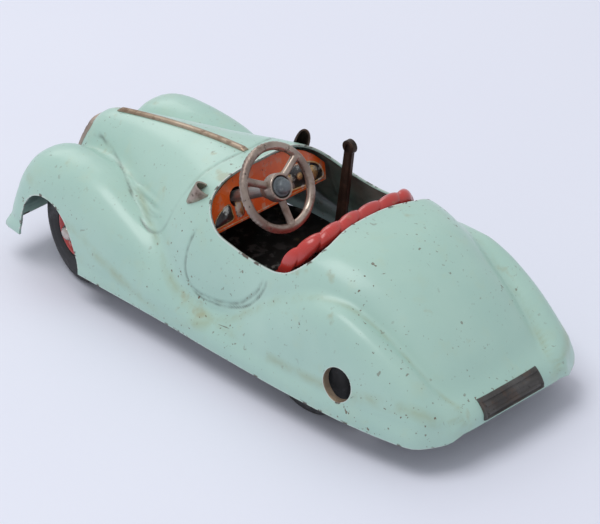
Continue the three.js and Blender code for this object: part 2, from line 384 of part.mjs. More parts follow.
// ---------------------------------------------------------------- cockpit
const A = [Math.cos(COL_TILT), 0, -Math.sin(COL_TILT)];      // down the column
const D = [-Math.sin(COL_TILT), 0, -Math.cos(COL_TILT)];     // bottom of the wheel
const col = t => [WHEEL_C[0] + A[0] * t, WHEEL_C[1], WHEEL_C[2] + A[2] * t];
{
  // dash panel, leaning back under the cowl
  const top = [], n = 16;
  const lean = z => 7.2 + (z - 27) * 0.29;
  for (let i = 0; i <= n; i++) {
    const y = 19.2 - 38.4 * i / n; let z = 40;
    while (z > 27.5 && skin(lean(z) + 0.9, y, z + 0.0) > -1.25) z -= 0.1;
    top.push([y, z]);
  }
  const outline = [[-18.6, 27.2], [18.6, 27.2], ...top];
  const holes = [circle(WHEEL_C[1], 33.0, 2.3, 16)];
  const s = shape(outline, holes), flat = slab(s, 0.7);
  const m = new THREE.Matrix4().set(0, 0.29, 1, 7.2 - 27 * 0.29, 1, 0, 0, 0, 0, 1, 0, 0, 0, 0, 0, 1);
  add('dashboard', bare(flat.applyMatrix4(m)), ORANGE, 0.45, 0.1);
}
{
  // floor pan with its toe board
  const pan = XY(shape([[-15.6, -21], [16, -21.6], [28, -19], [28, 19], [16, 21.6], [-15.6, 21]], [rect(-2.4, -19.9, 8.2, -16.9).reverse()]), FLOOR_Z0, FLOOR_Z1);
  const toe = YZ(shape([[-17, FLOOR_Z0 + 0.1], [17, FLOOR_Z0 + 0.1], [15.5, 26], [-15.5, 26]], [capsule(8, 21.0, 2.4, 8, 23.2, 2.4, 8)]), 27.4, 28.0);
  add('cockpit_floor', join(pan, toe), BLACK, 0.5, 0.3);
}
{
  // bench seat: rolled top, back, cushion and front skirt in one pressing
  const st = [];
  const path = [[-16.8, 19.0, 28.9], [-18.2, 18.5, 31.6], [-20.3, 17.0, 34.3], [-21.8, 13.8, 36.1], [-22.2, 9.5, 36.8], [-21.9, 4.5, 36.9], [-21.7, 0, 36.9]];
  const full = [...path, ...path.slice(0, -1).reverse().map(p => [p[0], -p[1], p[2]])];
  const [sx, sy, sz] = [0, 1, 2].map(k => pchip(full.map((p, i) => [i, p[k]])));
  const cu = Array.from({ length: 27 }, (_, i) => { const t = (full.length - 1) * i / 26; return new THREE.Vector3(sx(t), sy(t), sz(t)); });
  const loops = cu.map((p, i) => {
    const e = Math.min(i, 26 - i), R = 2.0 * Math.min(1, 0.75 + 0.08 * e), L = [];
    for (let k = 0; k < 7; k++) { const a = (-0.35 + 1.72 * k / 6) * Math.PI; L.push([p.x + R * Math.cos(a), p.y, p.z + R * Math.sin(a)]); }
    const y = p.y * 0.985, bz = 19.2;
    const zq = Math.min(p.z - 2.4, 34);
    L.push([p.x - 0.1, y, zq], [-15.9, y, bz + 0.5], [-3.2, y, 17.2], [-2.6, y, 14.2], [-1.9, y, 14.2], [-2.5, y, 18.1], [-14.6, y, bz + 1.2]);
    return L;
  });
  add('seat', loft(loops), RED, 0.35, 0.05);
}
// ---------------------------------------------------------------- steering wheel and column
{
  const seg = 28, tube = 6, V = [], T = [];
  for (let i = 0; i < seg; i++) for (let j = 0; j < tube; j++) {
    const a = 2 * Math.PI * i / seg, b = 2 * Math.PI * j / tube, r = WHEEL_RIM_R + WHEEL_TUBE_R * Math.cos(b);
    V.push([r * Math.cos(a), WHEEL_TUBE_R * Math.sin(b), r * Math.sin(a)]);
  }
  for (let i = 0; i < seg; i++) for (let j = 0; j < tube; j++) {
    const a = i * tube + j, b = i * tube + (j + 1) % tube, c = ((i + 1) % seg) * tube + j, d = ((i + 1) % seg) * tube + (j + 1) % tube;
    T.push([a, b, c], [b, d, c]);
  }
  let g = mesh(V, T); if (volume(g) < 0) g = mesh(V, T.map(t => [t[0], t[2], t[1]]));
  // local +Y runs down the column; local -Z is the bottom of the wheel
  let body = solid(g);
  for (const a of [-90, 30, 150]) {
    const sp = rod(0.95, [0, 0, 0], [0, 9.3, 0], 10, 0.1).rotateX(Math.PI / 2);   // along +Z
    sp.applyMatrix4(new THREE.Matrix4().makeTranslation(0, 0.35, 0)).rotateY(-(a - 90) * Math.PI / 180 + 0);
    body = body.add(solid(sp));
  }
  body = body.add(solid(lathe([[0, -1.6], [3.0, -1.6], [3.3, -1.2], [3.3, 0.6], [2.0, 1.6], [2.0, 3.2], [0, 3.2]], 20)));
  body = body.subtract(solid(lathe([[0, -3], [2.45, -3], [2.45, 0.7], [0.95, 0.7], [0.95, 5], [0, 5]], 20)));
  const geo = geom(body);
  const B = new THREE.Matrix4().makeBasis(new THREE.Vector3(0, -1, 0), new THREE.Vector3(...A), new THREE.Vector3(-D[0], -D[1], -D[2]));
  B.setPosition(...WHEEL_C);
  add('steering_wheel', geo.applyMatrix4(B), NICKEL, 0.4, 0.85);
}
{
  // tubular column with the crank at its foot; the tube starts behind the wheel boss
  const ring = lathe([[0.85, 3.35], [1.4, 3.35], [1.4, 46.6], [0.85, 46.6], [0.85, 3.35]], 16);
  const hubHole = lathe([[0, 40], [0.85, 40], [0.85, 50], [0, 50]], 16);
  let c = solid(ring);
  const arm = new THREE.ExtrudeGeometry(shape(capsule(0, 0, 2.1, CRANK_R, 0, 1.3, 6)), { depth: 1.1, bevelEnabled: false });
  // arm shape lies in a plane across the column: local X -> crank direction, extrude -> down the column
  const w = -CRANK0;                                    // crank swung to the car's left at rest
  const dir = [D[0] * Math.cos(w), D[1] * Math.cos(w) + Math.sin(-w) * 1, D[2] * Math.cos(w)];
  const side = new THREE.Vector3().crossVectors(new THREE.Vector3(...A), new THREE.Vector3(...dir));
  const M = new THREE.Matrix4().makeBasis(new THREE.Vector3(...dir), side, new THREE.Vector3(...A));
  M.setPosition(...col(44.6));
  const toCol = geo => { const q = new THREE.Quaternion().setFromUnitVectors(new THREE.Vector3(0, 1, 0), new THREE.Vector3(...A)); return geo.applyQuaternion(q).translate(...WHEEL_C); };
  const tubeW = toCol(lathe([[0.85, 3.35], [1.4, 3.35], [1.4, 46.6], [0.85, 46.6], [0.85, 3.35]], 16));
  const holeW = toCol(lathe([[0, 40], [0.85, 40], [0.85, 50], [0, 50]], 16));
  const armW = solid(arm.applyMatrix4(M)).subtract(solid(holeW));
  const p0 = col(45.2).map((v, k) => v + CRANK_R * dir[k]), p1 = col(53.9).map((v, k) => v + CRANK_R * dir[k]);
  add('steering_column', geom(solid(tubeW).add(armW).add(solid(rod(0.6, p0, p1, 12, 0.1)))), STEEL, 0.45, 0.8);
  globalThis.crankPin = col(53).map((v, k) => v + CRANK_R * dir[k]);
}
{
  // column clip: a strap from the toe board that carries a ring round the column
  const ringW = lathe([[1.5, -0.9], [2.3, -0.9], [2.3, 0.9], [1.5, 0.9], [1.5, -0.9]], 16);
  const q = new THREE.Quaternion().setFromUnitVectors(new THREE.Vector3(0, 1, 0), new THREE.Vector3(...A));
  ringW.applyQuaternion(q).translate(...col(40.5));
  const c = col(40.5);
  const leg = XZ(shape([[c[0] - 0.5, c[2] - 2.0], [c[0] + 0.6, c[2] - 1.6], [c[0] + 0.6, CHASSIS_Z1 + 0.05], [c[0] - 0.5, CHASSIS_Z1 + 0.05]]), WHEEL_C[1] - 1.6, WHEEL_C[1] + 1.6);
  add('column_bracket', geom(solid(ringW).add(solid(leg).subtract(solid(lathe([[0, -5], [1.5, -5], [1.5, 5], [0, 5]], 16).applyQuaternion(q).translate(...c))))), STEEL, 0.5, 0.7);
}
{
  // horn push in the wheel boss, and the rod that runs down inside the column
  const q = new THREE.Quaternion().setFromUnitVectors(new THREE.Vector3(0, 1, 0), new THREE.Vector3(...A));
  const btn = lathe([[0, -3.4], [1.35, -3.4], [1.5, -3.2], [1.5, -1.6], [2.25, -1.6], [2.25, -0.6], [0, -0.6]], 20);
  add('horn_button', btn.applyQuaternion(q).translate(...WHEEL_C), GREY, 0.55, 0.4);
  const hr = lathe([[0, -0.55], [0.6, -0.55], [0.6, 49.5], [0, 49.5]], 12);
  add('horn_rod', hr.applyQuaternion(q).translate(...WHEEL_C), STEEL, 0.5, 0.8);
}
{
  // horn lever hangs from a pin under the bonnet, just beyond the rod's foot; the reed stands ahead of it
  const e = col(50.2);
  const x0 = e[0] + 0.2;
  add('horn_lever', XZ(shape(capsule(x0 + 1.2, 24.5, 1.5, x0 + 0.6, e[2] - 1.4, 1.0, 8), [circle(x0 + 1.2, 24.5, 0.75, 12).reverse()]), 7.0, 9.0), STEEL, 0.5, 0.7);
  add('horn_lever_pin', rod(0.6, [x0 + 1.2, 5.2, 24.5], [x0 + 1.2, 10.6, 24.5], 12, 0.1), STEEL, 0.4, 0.8);
  // horn box: a shallow tin can that holds the pin between two ears
  const can = XZ(shape(rect(x0 + 3.4, 17.9, x0 + 10.3, 27.0)), 2.5, 11.2);
  const earA = XZ(shape(capsule(x0 + 1.2, 24.5, 1.3, x0 + 5, 24.5, 1.3, 8), [circle(x0 + 1.2, 24.5, 0.68, 12).reverse()]), 5.6, 6.6);
  const earB = XZ(shape(capsule(x0 + 1.2, 24.5, 1.3, x0 + 5, 24.5, 1.3, 8), [circle(x0 + 1.2, 24.5, 0.68, 12).reverse()]), 9.4, 10.4);
  const hollow = XZ(shape(rect(x0 + 4.1, 18.6, x0 + 9.6, 26.3)), 3.2, 12.8);
  add('horn_box', geom(solid(can).add(solid(earA)).add(solid(earB)).subtract(solid(hollow))), STEEL, 0.5, 0.6);
  add('horn_reed', XZ(shape([[x0 + 6.6, 19.0], [x0 + 7.1, 19.0], [x0 + 7.1, 25.9], [x0 + 6.6, 25.9]]), 3.6, 10.8), BRASS, 0.4, 0.8);
}
// ---------------------------------------------------------------- front axle
{
  const strip = XY(shape([[FRONT_X - 2.4, -18.4], [FRONT_X + 2.4, -18.4], [FRONT_X + 2.4, 18.4], [FRONT_X - 2.4, 18.4]], [circle(FRONT_X, KINGPIN_Y, 1.05, 14).reverse(), circle(FRONT_X, -KINGPIN_Y, 1.05, 14).reverse()]), 8.6, 9.4);
  let b = solid(strip);
  for (const s of [1, -1]) {
    const y0 = s > 0 ? 12.3 : -13.1;
    b = b.add(solid(YZ(shape(rect(y0, 9.0, y0 + 0.8, 17.5)), FRONT_X - 2.4, FRONT_X + 2.4)));
    const ys = s > 0 ? [12.4, 18.4] : [-18.4, -12.4];
    b = b.add(solid(XY(shape(rect(FRONT_X - 2.4, ys[0], FRONT_X + 2.4, ys[1]), [circle(FRONT_X, s * KINGPIN_Y, 1.05, 14).reverse()]), 16.9, 17.7)));
  }
  b = b.add(solid(XY(shape(rect(FRONT_X - 2.2, -7, FRONT_X + 2.2, 7)), CHASSIS_Z1 + 0.05, 9.0)));
  add('front_axle_beam', geom(b), STEEL, 0.5, 0.7);
}
const turned = (geo, s) => geo.rotateZ(STEER0).translate(FRONT_X, s * KINGPIN_Y, 0);
for (const [side, s] of [['left', 1], ['right', -1]]) {
  add('kingpin_' + side, aim(lathe([[0, 0], [1.7, 0], [1.7, 0.45], [0.9, 0.45], [0.9, 9.85], [1.7, 9.85], [1.5, 10.4], [0, 10.4]], 10), [FRONT_X, s * KINGPIN_Y, 8.0], [0, 0, 1]), NICKEL, 0.4, 0.8);
  // knuckle: sleeve, stub axle, arm and track rod pin in one forging, turned with the wheel
  let k = solid(XY(shape(circle(0, 0, 2.1, 16)), 9.9, 16.4));
  k = k.add(solid(rod(STUB_R, [0, s * 1.2, TYRE_R], [0, s * (STUB_REACH + 3.0), TYRE_R], 14, 0.1)));
  k = k.add(solid(XY(shape(capsule(0, 0, 1.6, -ARM, 0, 1.35, 5)), 11.0, 12.0)));
  k = k.add(solid(rod(0.6, [-ARM, 0, 8.3], [-ARM, 0, 11.4], 10, 0.1)));
  k = k.subtract(solid(XY(shape(circle(0, 0, 1.05, 14)), 9, 18)));
  add('steering_knuckle_' + side, turned(geom(k), s), STEEL, 0.5, 0.8);
}
{
  const dy = ARM * Math.sin(-STEER0), x = FRONT_X - ARM * Math.cos(STEER0);
  const hole = y => capsule(x - 0.35, y, 0.8, x + 0.35, y, 0.8, 6).reverse();
  const y0 = -KINGPIN_Y + dy, y1 = KINGPIN_Y + dy;
  let r = solid(XY(shape([[x - 1.6, y0 - 1.7], [x + 1.6, y0 - 1.7], [x + 1.6, y1 + 1.7], [x - 1.6, y1 + 1.7]], [hole(y0), hole(y1)]), 8.8, 9.4));
  const cy = globalThis.crankPin[1], w = 0.85;
  r = r.add(solid(YZ(shape([[cy - 2.6, 9.0], [cy + 2.6, 9.0], [cy + 2.2, 12.9], [cy + w, 12.9], [cy + w, 9.4], [cy - w, 9.4], [cy - w, 12.9], [cy - 2.2, 12.9]]), x - 0.4, x + 0.4)));
  add('track_rod', geom(r), STEEL, 0.5, 0.8);
}
// ---------------------------------------------------------------- wheels
const tyreProfile = (() => {
  const w = TYRE_W / 2, p = [[TYRE_BORE, -w * 0.75], [9.3, -w], [11.7, -w * 0.76], [TYRE_R, -w * 0.28], [TYRE_R, w * 0.28], [11.7, w * 0.76], [9.3, w], [TYRE_BORE, w * 0.75]];
  return [...p, p[0]];
})();
const discProfile = (bore) => { const w = TYRE_W / 2; const p = [[bore, -1.0], [3.0, -0.6], [5.4, -1.5], [6.25, -w * 0.7], [6.25, w * 0.7], [5.6, w * 0.74], [4.6, 0.9], [2.6, 1.2], [bore, 1.7]]; return [...p, p[0]]; };
const capProfile = [[0, 0], [1.95, 0], [1.95, 0.35], [1.6, 1.0], [1.0, 1.4], [0, 1.55]];
for (const [ax, sx] of [['front', 1], ['rear', -1]]) for (const [side, s] of [['left', 1], ['right', -1]]) {
  const rear = sx < 0;
  const put = (geo, off) => {          // geo's own +Y is outward
    if (s < 0) geo.rotateZ(Math.PI);
    geo.translate(0, s * off, TYRE_R);
    return rear ? geo.translate(REAR_X, 0, 0) : turned(geo, s);
  };
  const off = rear ? REAR_Y : STUB_REACH;
  add(`tyre_${ax}_${side}`, put(lathe(tyreProfile, 24), off), RUBBER, 0.85, 0.0);
  add(`wheel_disc_${ax}_${side}`, put(lathe(discProfile(rear ? STUB_R + 0.05 : STUB_R + 0.12), 16), off), RED, 0.4, 0.1);
  add(`hub_cap_${ax}_${side}`, put(lathe(capProfile, 12), off + (rear ? 3.05 : 3.05)), NICKEL, 0.3, 0.9);
}
// ---------------------------------------------------------------- clockwork motor
const BIG_R = MODULE * BIG_T / 2, SMALL_R = MODULE * SMALL_T / 2, CD = BIG_R + SMALL_R;
const INTER = (() => {
  const dx = AXLE[0] - ARBOR[0], dz = AXLE[1] - ARBOR[1], L = Math.hypot(dx, dz), h = Math.sqrt(CD * CD - L * L / 4);
  return [(ARBOR[0] + AXLE[0]) / 2 - dz / L * h, (ARBOR[1] + AXLE[1]) / 2 + dx / L * h];
})();
function gearShape(c, teeth, phase, bore) {
  const r = MODULE * teeth / 2, ra = r + 0.72 * MODULE, rf = r - 0.95 * MODULE, pts = [], P = 2 * Math.PI / teeth;
  for (let i = 0; i < teeth; i++) {
    const a = phase + i * P;
    for (const [f, q] of [[-0.28, rf], [-0.1, ra], [0.1, ra], [0.28, rf]]) pts.push([c[0] + q * Math.cos(a + f * P), c[1] + q * Math.sin(a + f * P)]);
  }
  return shape(pts, bore ? [circle(c[0], c[1], bore, 16).reverse()] : []);
}
const ang = (p, q) => Math.atan2(q[1] - p[1], q[0] - p[0]);
{
  const outline = [[-56.5, 7.85], [-24, 7.85], [-24, 22], [-27.5, 27.5], [-43, 27.5], [-50, 24.5], [-56.5, 17]];
  const P = [[-26.6, 23.2], [-54.4, 10.4], [-47.0, 24.0]];
  globalThis.PIL = P;
  const holes = [circle(...ARBOR, 1.35, 14), circle(...INTER, 0.98, 12), circle(...AXLE, STUB_R + 0.16, 14), ...P.map(p => circle(p[0], p[1], 0.8, 8))].map(h => h.reverse());
  add('motor_plate_left', XZ(shape(outline, holes), PLATE_Y, PLATE_Y + PLATE_T), STEEL, 0.45, 0.8);
  add('motor_plate_right', XZ(shape(outline, holes), -PLATE_Y - PLATE_T, -PLATE_Y), STEEL, 0.45, 0.8);
  P.forEach((p, i) => add('motor_pillar_' + ['front', 'rear', 'top'][i], aim(lathe([[0, 0], [0.7, 0], [0.7, 1.0], [1.3, 1.0], [1.3, 2 * PLATE_Y + 0.9], [0.7, 2 * PLATE_Y + 0.9], [0.7, 2 * PLATE_Y + 1.9], [0, 2 * PLATE_Y + 1.9]], 10), [p[0], -PLATE_Y - 0.95, p[1]], [0, 1, 0]), STEEL, 0.45, 0.8));
}
{
  // winding arbor, square at the key end
  const shaft = rod(1.2, [ARBOR[0], -9.8, ARBOR[1]], [ARBOR[0], 18.2, ARBOR[1]], 16, 0.15);
  const sq = XZ(shape(circle(ARBOR[0], ARBOR[1], 1.55, 4)), 17.9, 25.0);
  const drum = rod(1.7, [ARBOR[0], -6.6, ARBOR[1]], [ARBOR[0], 2.4, ARBOR[1]], 16, 0.1);
  add('winding_arbor', join(shaft, sq, drum), STEEL, 0.4, 0.85);
  // ratchet wheel pressed on the arbor
  const pts = [], n = 12;
  for (let i = 0; i < n; i++) { const a = 2 * Math.PI * i / n; pts.push([ARBOR[0] + 2.3 * Math.cos(a + 0.03), ARBOR[1] + 2.3 * Math.sin(a + 0.03)], [ARBOR[0] + 3.1 * Math.cos(a), ARBOR[1] + 3.1 * Math.sin(a)]); }
  pts.reverse();
  add('ratchet_wheel', XZ(shape(pts, [circle(...ARBOR, 1.26, 16)]), 5.6, 6.6), STEEL, 0.4, 0.85);
  add('great_wheel', XZ(gearShape(ARBOR, BIG_T, ang(ARBOR, INTER), 1.38), 3.8, 4.8), BRASS, 0.4, 0.85);
  // click on the great wheel's face, just clear of the ratchet
  const cp = [ARBOR[0] - 2.6, ARBOR[1] + 4.3];
  const click = XZ(shape([[cp[0] - 0.75, cp[1]], [cp[0] - 0.4, cp[1] + 0.7], [cp[0] + 0.5, cp[1] + 0.8], [cp[0] + 3.4, cp[1] - 0.6], [cp[0] + 3.1, cp[1] - 0.95], [cp[0] + 0.6, cp[1] - 0.5], [cp[0], cp[1] - 0.75]]), 5.6, 6.5);
  add('click', join(click, rod(0.3, [cp[0], 5.0, cp[1]], [cp[0], 5.8, cp[1]], 10, 0.05)), STEEL, 0.4, 0.85);
  // mainspring: a coiled strip whose inner end hooks the drum and outer end the rear pillar
  const L = [], R = [], N = 50, turns = 3.1;
  for (let i = 0; i <= N; i++) {
    const t = i / N, a = t * turns * 2 * Math.PI, r = 2.1 + 3.7 * t;
    L.push([ARBOR[0] + (r - 0.12) * Math.cos(a), ARBOR[1] + (r - 0.12) * Math.sin(a)]);
    R.push([ARBOR[0] + (r + 0.12) * Math.cos(a), ARBOR[1] + (r + 0.12) * Math.sin(a)]);
  }
  add('mainspring', XZ(shape([...R, ...L.reverse()]), -6.2, 2.2), 0x6C7078, 0.35, 0.9);
}
{
  const sh = rod(0.85, [INTER[0], -9.6, INTER[1]], [INTER[0], 9.6, INTER[1]], 14, 0.1);
  add('intermediate_gear', join(sh, XZ(gearShape(INTER, SMALL_T, ang(INTER, ARBOR) + Math.PI / SMALL_T, 0), 3.2, 5.3), XZ(gearShape(INTER, BIG_T, ang(INTER, AXLE), 0), -7.5, -6.8)), BRASS, 0.4, 0.85);
  const ax = rod(STUB_R, [AXLE[0], -REAR_Y - 3.0, AXLE[1]], [AXLE[0], REAR_Y + 3.0, AXLE[1]], 14, 0.1);
  add('rear_axle', join(ax, XZ(gearShape(AXLE, SMALL_T, ang(AXLE, INTER) + Math.PI / SMALL_T, 0), -7.7, -6.4)), STEEL, 0.4, 0.85);
}
// ---------------------------------------------------------------- stop and go lever
{
  const piv = [2.6, 15.9];
  const up = capsule(piv[0], piv[1], 1.5, -0.6, 38.6, 1.25, 8), down = capsule(piv[0], piv[1], 1.5, 3.2, 10.4, 1.1, 8);
  let g = solid(XZ(shape(up), -18.8, -18.0)).add(solid(XZ(shape(down), -18.8, -18.0)));
  g = g.add(solid(XZ(shape(circle(-0.65, 39.0, 1.7, 16)), -19.1, -17.7)));
  g = g.subtract(solid(XZ(shape(circle(...piv, 0.75, 12)), -20, -17)));
  add('stop_lever', geom(g), BROWN, 0.5, 0.6);
  const ear = XZ(shape([[piv[0] - 1.6, FLOOR_Z1 + 0.05], [piv[0] + 1.6, FLOOR_Z1 + 0.05], [piv[0] + 1.2, piv[1] + 1.3], [piv[0] - 1.2, piv[1] + 1.3]], [circle(...piv, 0.68, 12).reverse()]), -16.6, -15.9);
  const foot = XY(shape(rect(piv[0] - 1.6, -16.6, piv[0] + 1.6, -13.4)), FLOOR_Z1 + 0.05, FLOOR_Z1 + 0.65);
  add('lever_bracket', join(ear, foot), STEEL, 0.5, 0.7);
  add('lever_pin', aim(lathe([[0, 0], [1.1, 0], [1.1, 0.5], [0.6, 0.5], [0.6, 4.4], [0, 4.4]], 12), [piv[0], -19.7, piv[1]], [0, 1, 0]), STEEL, 0.4, 0.8);
  // brake rod: a flat link below the floor that reaches the rear axle
  const tail = 3.2;
  const flat = XY(shape(rect(-27.2, -17.6, 1.6, -15.4)), 9.2, 10.0);
  const shoe = YZ(shape(rect(-17.6, 9.4, -15.4, 14.6)), -27.2 + 1.45 - 1.0 - 0.4, -27.2 + 1.45 - 0.2 - 0.4 + 0.2);
  const side = XY(shape(rect(-2, -19.3, 1.6, -15.8)), 9.2, 10.0);
  add('brake_rod', join(flat, shoe, side), STEEL, 0.5, 0.8);
}
// ---------------------------------------------------------------- centre the frame
for (const m of group.children) m.geometry.translate(SHIFT_X, 0, 0);
export default group;
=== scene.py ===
import bpy, bmesh, math
import numpy as np
from mathutils import Matrix, Vector


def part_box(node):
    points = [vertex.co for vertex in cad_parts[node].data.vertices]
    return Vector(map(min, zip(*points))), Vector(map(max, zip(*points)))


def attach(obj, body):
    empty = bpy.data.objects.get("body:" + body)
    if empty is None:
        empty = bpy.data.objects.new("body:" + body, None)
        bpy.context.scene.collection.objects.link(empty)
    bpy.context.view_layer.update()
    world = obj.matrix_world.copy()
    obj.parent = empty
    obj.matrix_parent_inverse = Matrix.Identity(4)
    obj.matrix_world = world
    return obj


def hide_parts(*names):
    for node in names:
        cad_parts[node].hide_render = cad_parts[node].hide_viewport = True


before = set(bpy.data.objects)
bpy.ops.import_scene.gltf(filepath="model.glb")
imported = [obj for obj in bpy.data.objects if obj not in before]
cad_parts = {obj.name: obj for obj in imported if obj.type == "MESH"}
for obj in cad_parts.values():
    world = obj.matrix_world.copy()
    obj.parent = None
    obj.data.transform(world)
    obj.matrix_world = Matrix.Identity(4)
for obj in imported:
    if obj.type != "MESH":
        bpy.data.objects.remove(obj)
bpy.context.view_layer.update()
SX = round(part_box("base_plate")[0].x * 1000 + 63.5, 3)      # the frame's shift in x, mm
S_BODY = "body"

# ---------------------------------------------------------------- the pressed shell as a blend of sections
T = {
'Hm': [(-70,5),(-69.2,7.0),(-68.4,9.0),(-67,12.0),(-64,16.2),(-60,21.2),(-54,27.3),(-48,31.8),(-42,34.9),(-36,36.8),(-30,37.7),(-24.5,38.0),(-15,38.8),(-5,39.2),(4,39.5),(9,39.5),(13,39.5),(20,39.2),(30,38.2),(40,36.7),(50,34.8),(57,33.2),(60,32.3),(62.2,31.0),(64.0,27.5),(65.5,18),(66.5,8)],
'Wm': [(-70,12),(-68.5,16),(-67,18),(-64,19.5),(-60,20.5),(-54,21.5),(-48,22.5),(-40,23.4),(-30,24.0),(-20,24.4),(-8,24.6),(0,25),(8,25.5),(15,24.5),(22,22.8),(30,20.6),(40,17.6),(50,14.4),(57,12.2),(62,10.4),(65,9.2),(67,8)],
'a': [(-70,3.6),(-60,3.2),(-48,3.2),(-36,4.0),(-26,5.0),(-18,4.2),(-8,3.2),(0,3.0),(8,3.0),(15,2.6),(22,2.2),(30,1.95),(40,1.85),(50,1.8),(60,1.9),(67,2.2)],
'b':  [(-70,2.2),(-60,2.3),(-48,2.5),(-36,3.4),(-26,4.0),(-18,3.4),(-8,3.0),(0,2.9),(8,2.8),(15,2.6),(22,2.4),(30,2.3),(40,2.3),(50,2.4),(60,2.6),(67,3)],
'Yf': [(-72,17),(-67,17.5),(-63.4,19.3),(-57,20.5),(-50,21),(-42.7,21.3),(-24,21.4),(-10,21.3),(0,21.0),(10,20.4),(20,19.6),(30,18.6),(40,17.6),(50,16.8),(60,16.6),(70,17.2)],
'Wf': [(-72,0.5),(-68,1.5),(-67,2.8),(-65.8,4.5),(-63.4,5.6),(-57,5.9),(-50,6.3),(-42.7,6.8),(-33,7.2),(-24,7.4),(-10,7.6),(0,7.9),(10,8.2),(20,8.8),(30,9.7),(40,10.6),(50,11.3),(58,11.4),(63,10.7),(66,9.6),(68,7.9),(69,6.0)],
'Hf': [(-72,6),(-68,7),(-60,9.5),(-20,10.2),(-10,11.0),(-5,11.8),(0,12.9),(5,14.4),(10,16.2),(15,18.3),(20,20.6),(25,22.9),(30,25.0),(35,27.0),(40,28.7),(45,29.6),(50,30.0),(54,30.0),(58,29.5),(61,28.6),(64,26.8),(66.0,24.2),(67.5,20.2),(68.5,15.0),(69.2,8)],
'Yr': [(-72,16.5),(-67,17.5),(-63.4,19.5),(-57,20.7),(-50,21.4),(-42.7,21.8),(-30,22.2),(-18,22.4),(-5,22.4),(5,22)],
'Wr': [(-72,0.5),(-68,1.5),(-67,2.8),(-65.8,4.5),(-63.4,5.6),(-57,6.0),(-50,6.4),(-42.7,6.6),(-30,6.5),(-15,6.0),(-5,5.4),(5,5)],
'Hr': [(-71,5),(-68.6,8),(-67.4,11.0),(-65.4,14.4),(-61.5,18.4),(-56,22.6),(-50,26.0),(-44,28.6),(-38,29.9),(-32,29.7),(-26,27.8),(-20,24.7),(-14,20.7),(-8,16.4),(-2,12.6),(4,9.5),(10,7)],
'Ha': [(20,10),(35,17),(45,20),(55,20.5),(60,19.5),(64,16.5),(66,12.5),(67.5,8),(69,5)],
'zb': [(-70,7.6),(-66,7.5),(-60,7.3),(44,7.3),(54,8.0),(60,9.0),(64,9.0),(70,8.4)],
}
ZB = 4.0
def pchip(pts):
    x = np.array([p[0] for p in pts], float); y = np.array([p[1] for p in pts], float)
    h = np.diff(x); d = np.diff(y) / h; n = len(x); m = np.zeros(n)
    for i in range(1, n - 1):
        if d[i - 1] * d[i] > 0:
            w1 = 2 * h[i] + h[i - 1]; w2 = h[i] + 2 * h[i - 1]
            m[i] = (w1 + w2) / (w1 / d[i - 1] + w2 / d[i])
    def edge(h0, h1, m0, m1):
        v = ((2 * h0 + h1) * m0 - h0 * m1) / (h0 + h1)
        if v * m0 <= 0: return 0.0
        if m0 * m1 < 0 and abs(v) > 3 * abs(m0): return 3 * m0
        return v
    if n > 2:
        m[0] = edge(h[0], h[1], d[0], d[1]); m[-1] = edge(h[-1], h[-2], d[-1], d[-2])
    else: m[:] = d[0]
    def f(q):
        q = np.clip(np.asarray(q, float), x[0], x[-1]); i = np.clip(np.searchsorted(x, q) - 1, 0, n - 2)
        t = (q - x[i]) / h[i]
        return y[i] * (1 + 2 * t) * (1 - t) ** 2 + h[i] * m[i] * t * (1 - t) ** 2 + y[i + 1] * t * t * (3 - 2 * t) + h[i] * m[i + 1] * t * t * (t - 1)
    return f
_X = np.linspace(-75, 75, 3001)
LUT = {k: pchip(v)(_X) for k, v in T.items()}
def ev(k, x): return np.interp(x, _X, LUT[k])
def comp(y, z, Y, W, H, a, b):
    dy = np.abs(np.abs(y) - Y); dz = np.maximum(z - ZB, 0)
    r = ((dy / W) ** a + (dz / np.maximum(H - ZB, 0.4)) ** b) ** (2 / (a + b)); r = np.maximum(r, 1e-6)
    return np.where(r > 0.02, (r - 1) / r * np.sqrt(dy * dy + dz * dz), -np.minimum(W, H - ZB))
def smin(a, b, k):
    h = np.maximum(k - np.abs(a - b), 0) / k
    return np.minimum(a, b) - h * h * k * 0.25
def parts_of(p):
    x, y, z = p[..., 0], p[..., 1], p[..., 2]
    m = comp(y, z, 0.0, ev('Wm', x), ev('Hm', x), ev('a', x), ev('b', x))
    f = comp(y, z, ev('Yf', x), ev('Wf', x), ev('Hf', x), 2.45, 2.6)
    r = comp(y, z, ev('Yr', x), ev('Wr', x), ev('Hr', x), 2.2, 2.4)
    g = np.where(x < 20, 50, comp(y, z, 0.0, 21.0, ev('Ha', x), 4.0, 2.2))
    return m, f, r, g
def field(p):
    m, f, r, g = parts_of(p); x = p[..., 0]
    d = smin(smin(smin(m, g, 4.0), f, 3.4), r, 3.2)
    return -smin(-d, -np.maximum(x - 69.3, -69.0 - x), 2.0)
def grad(p, e=0.05):
    g = np.stack([field(p + np.eye(3)[k] * e) - field(p - np.eye(3)[k] * e) for k in range(3)], -1)
    return g / np.maximum(np.linalg.norm(g, axis=-1, keepdims=True), 1e-9)
def drop(P):
    x = P[..., 0]; z = P[..., 2]; s = np.clip((z - ZB) / 14, 0, 1); s = s * s * (3 - 2 * s)
    c = np.clip((20.5 - np.abs(P[..., 1])) / 4.0, 0, 1); c = c * c * (3 - 2 * c); e = np.clip((-60 - x) / 5, 0, 1)
    Q = P.copy(); Q[..., 2] = z + (ev('zb', x) + 1.4 * c * e - ZB) * (1 - s); return Q
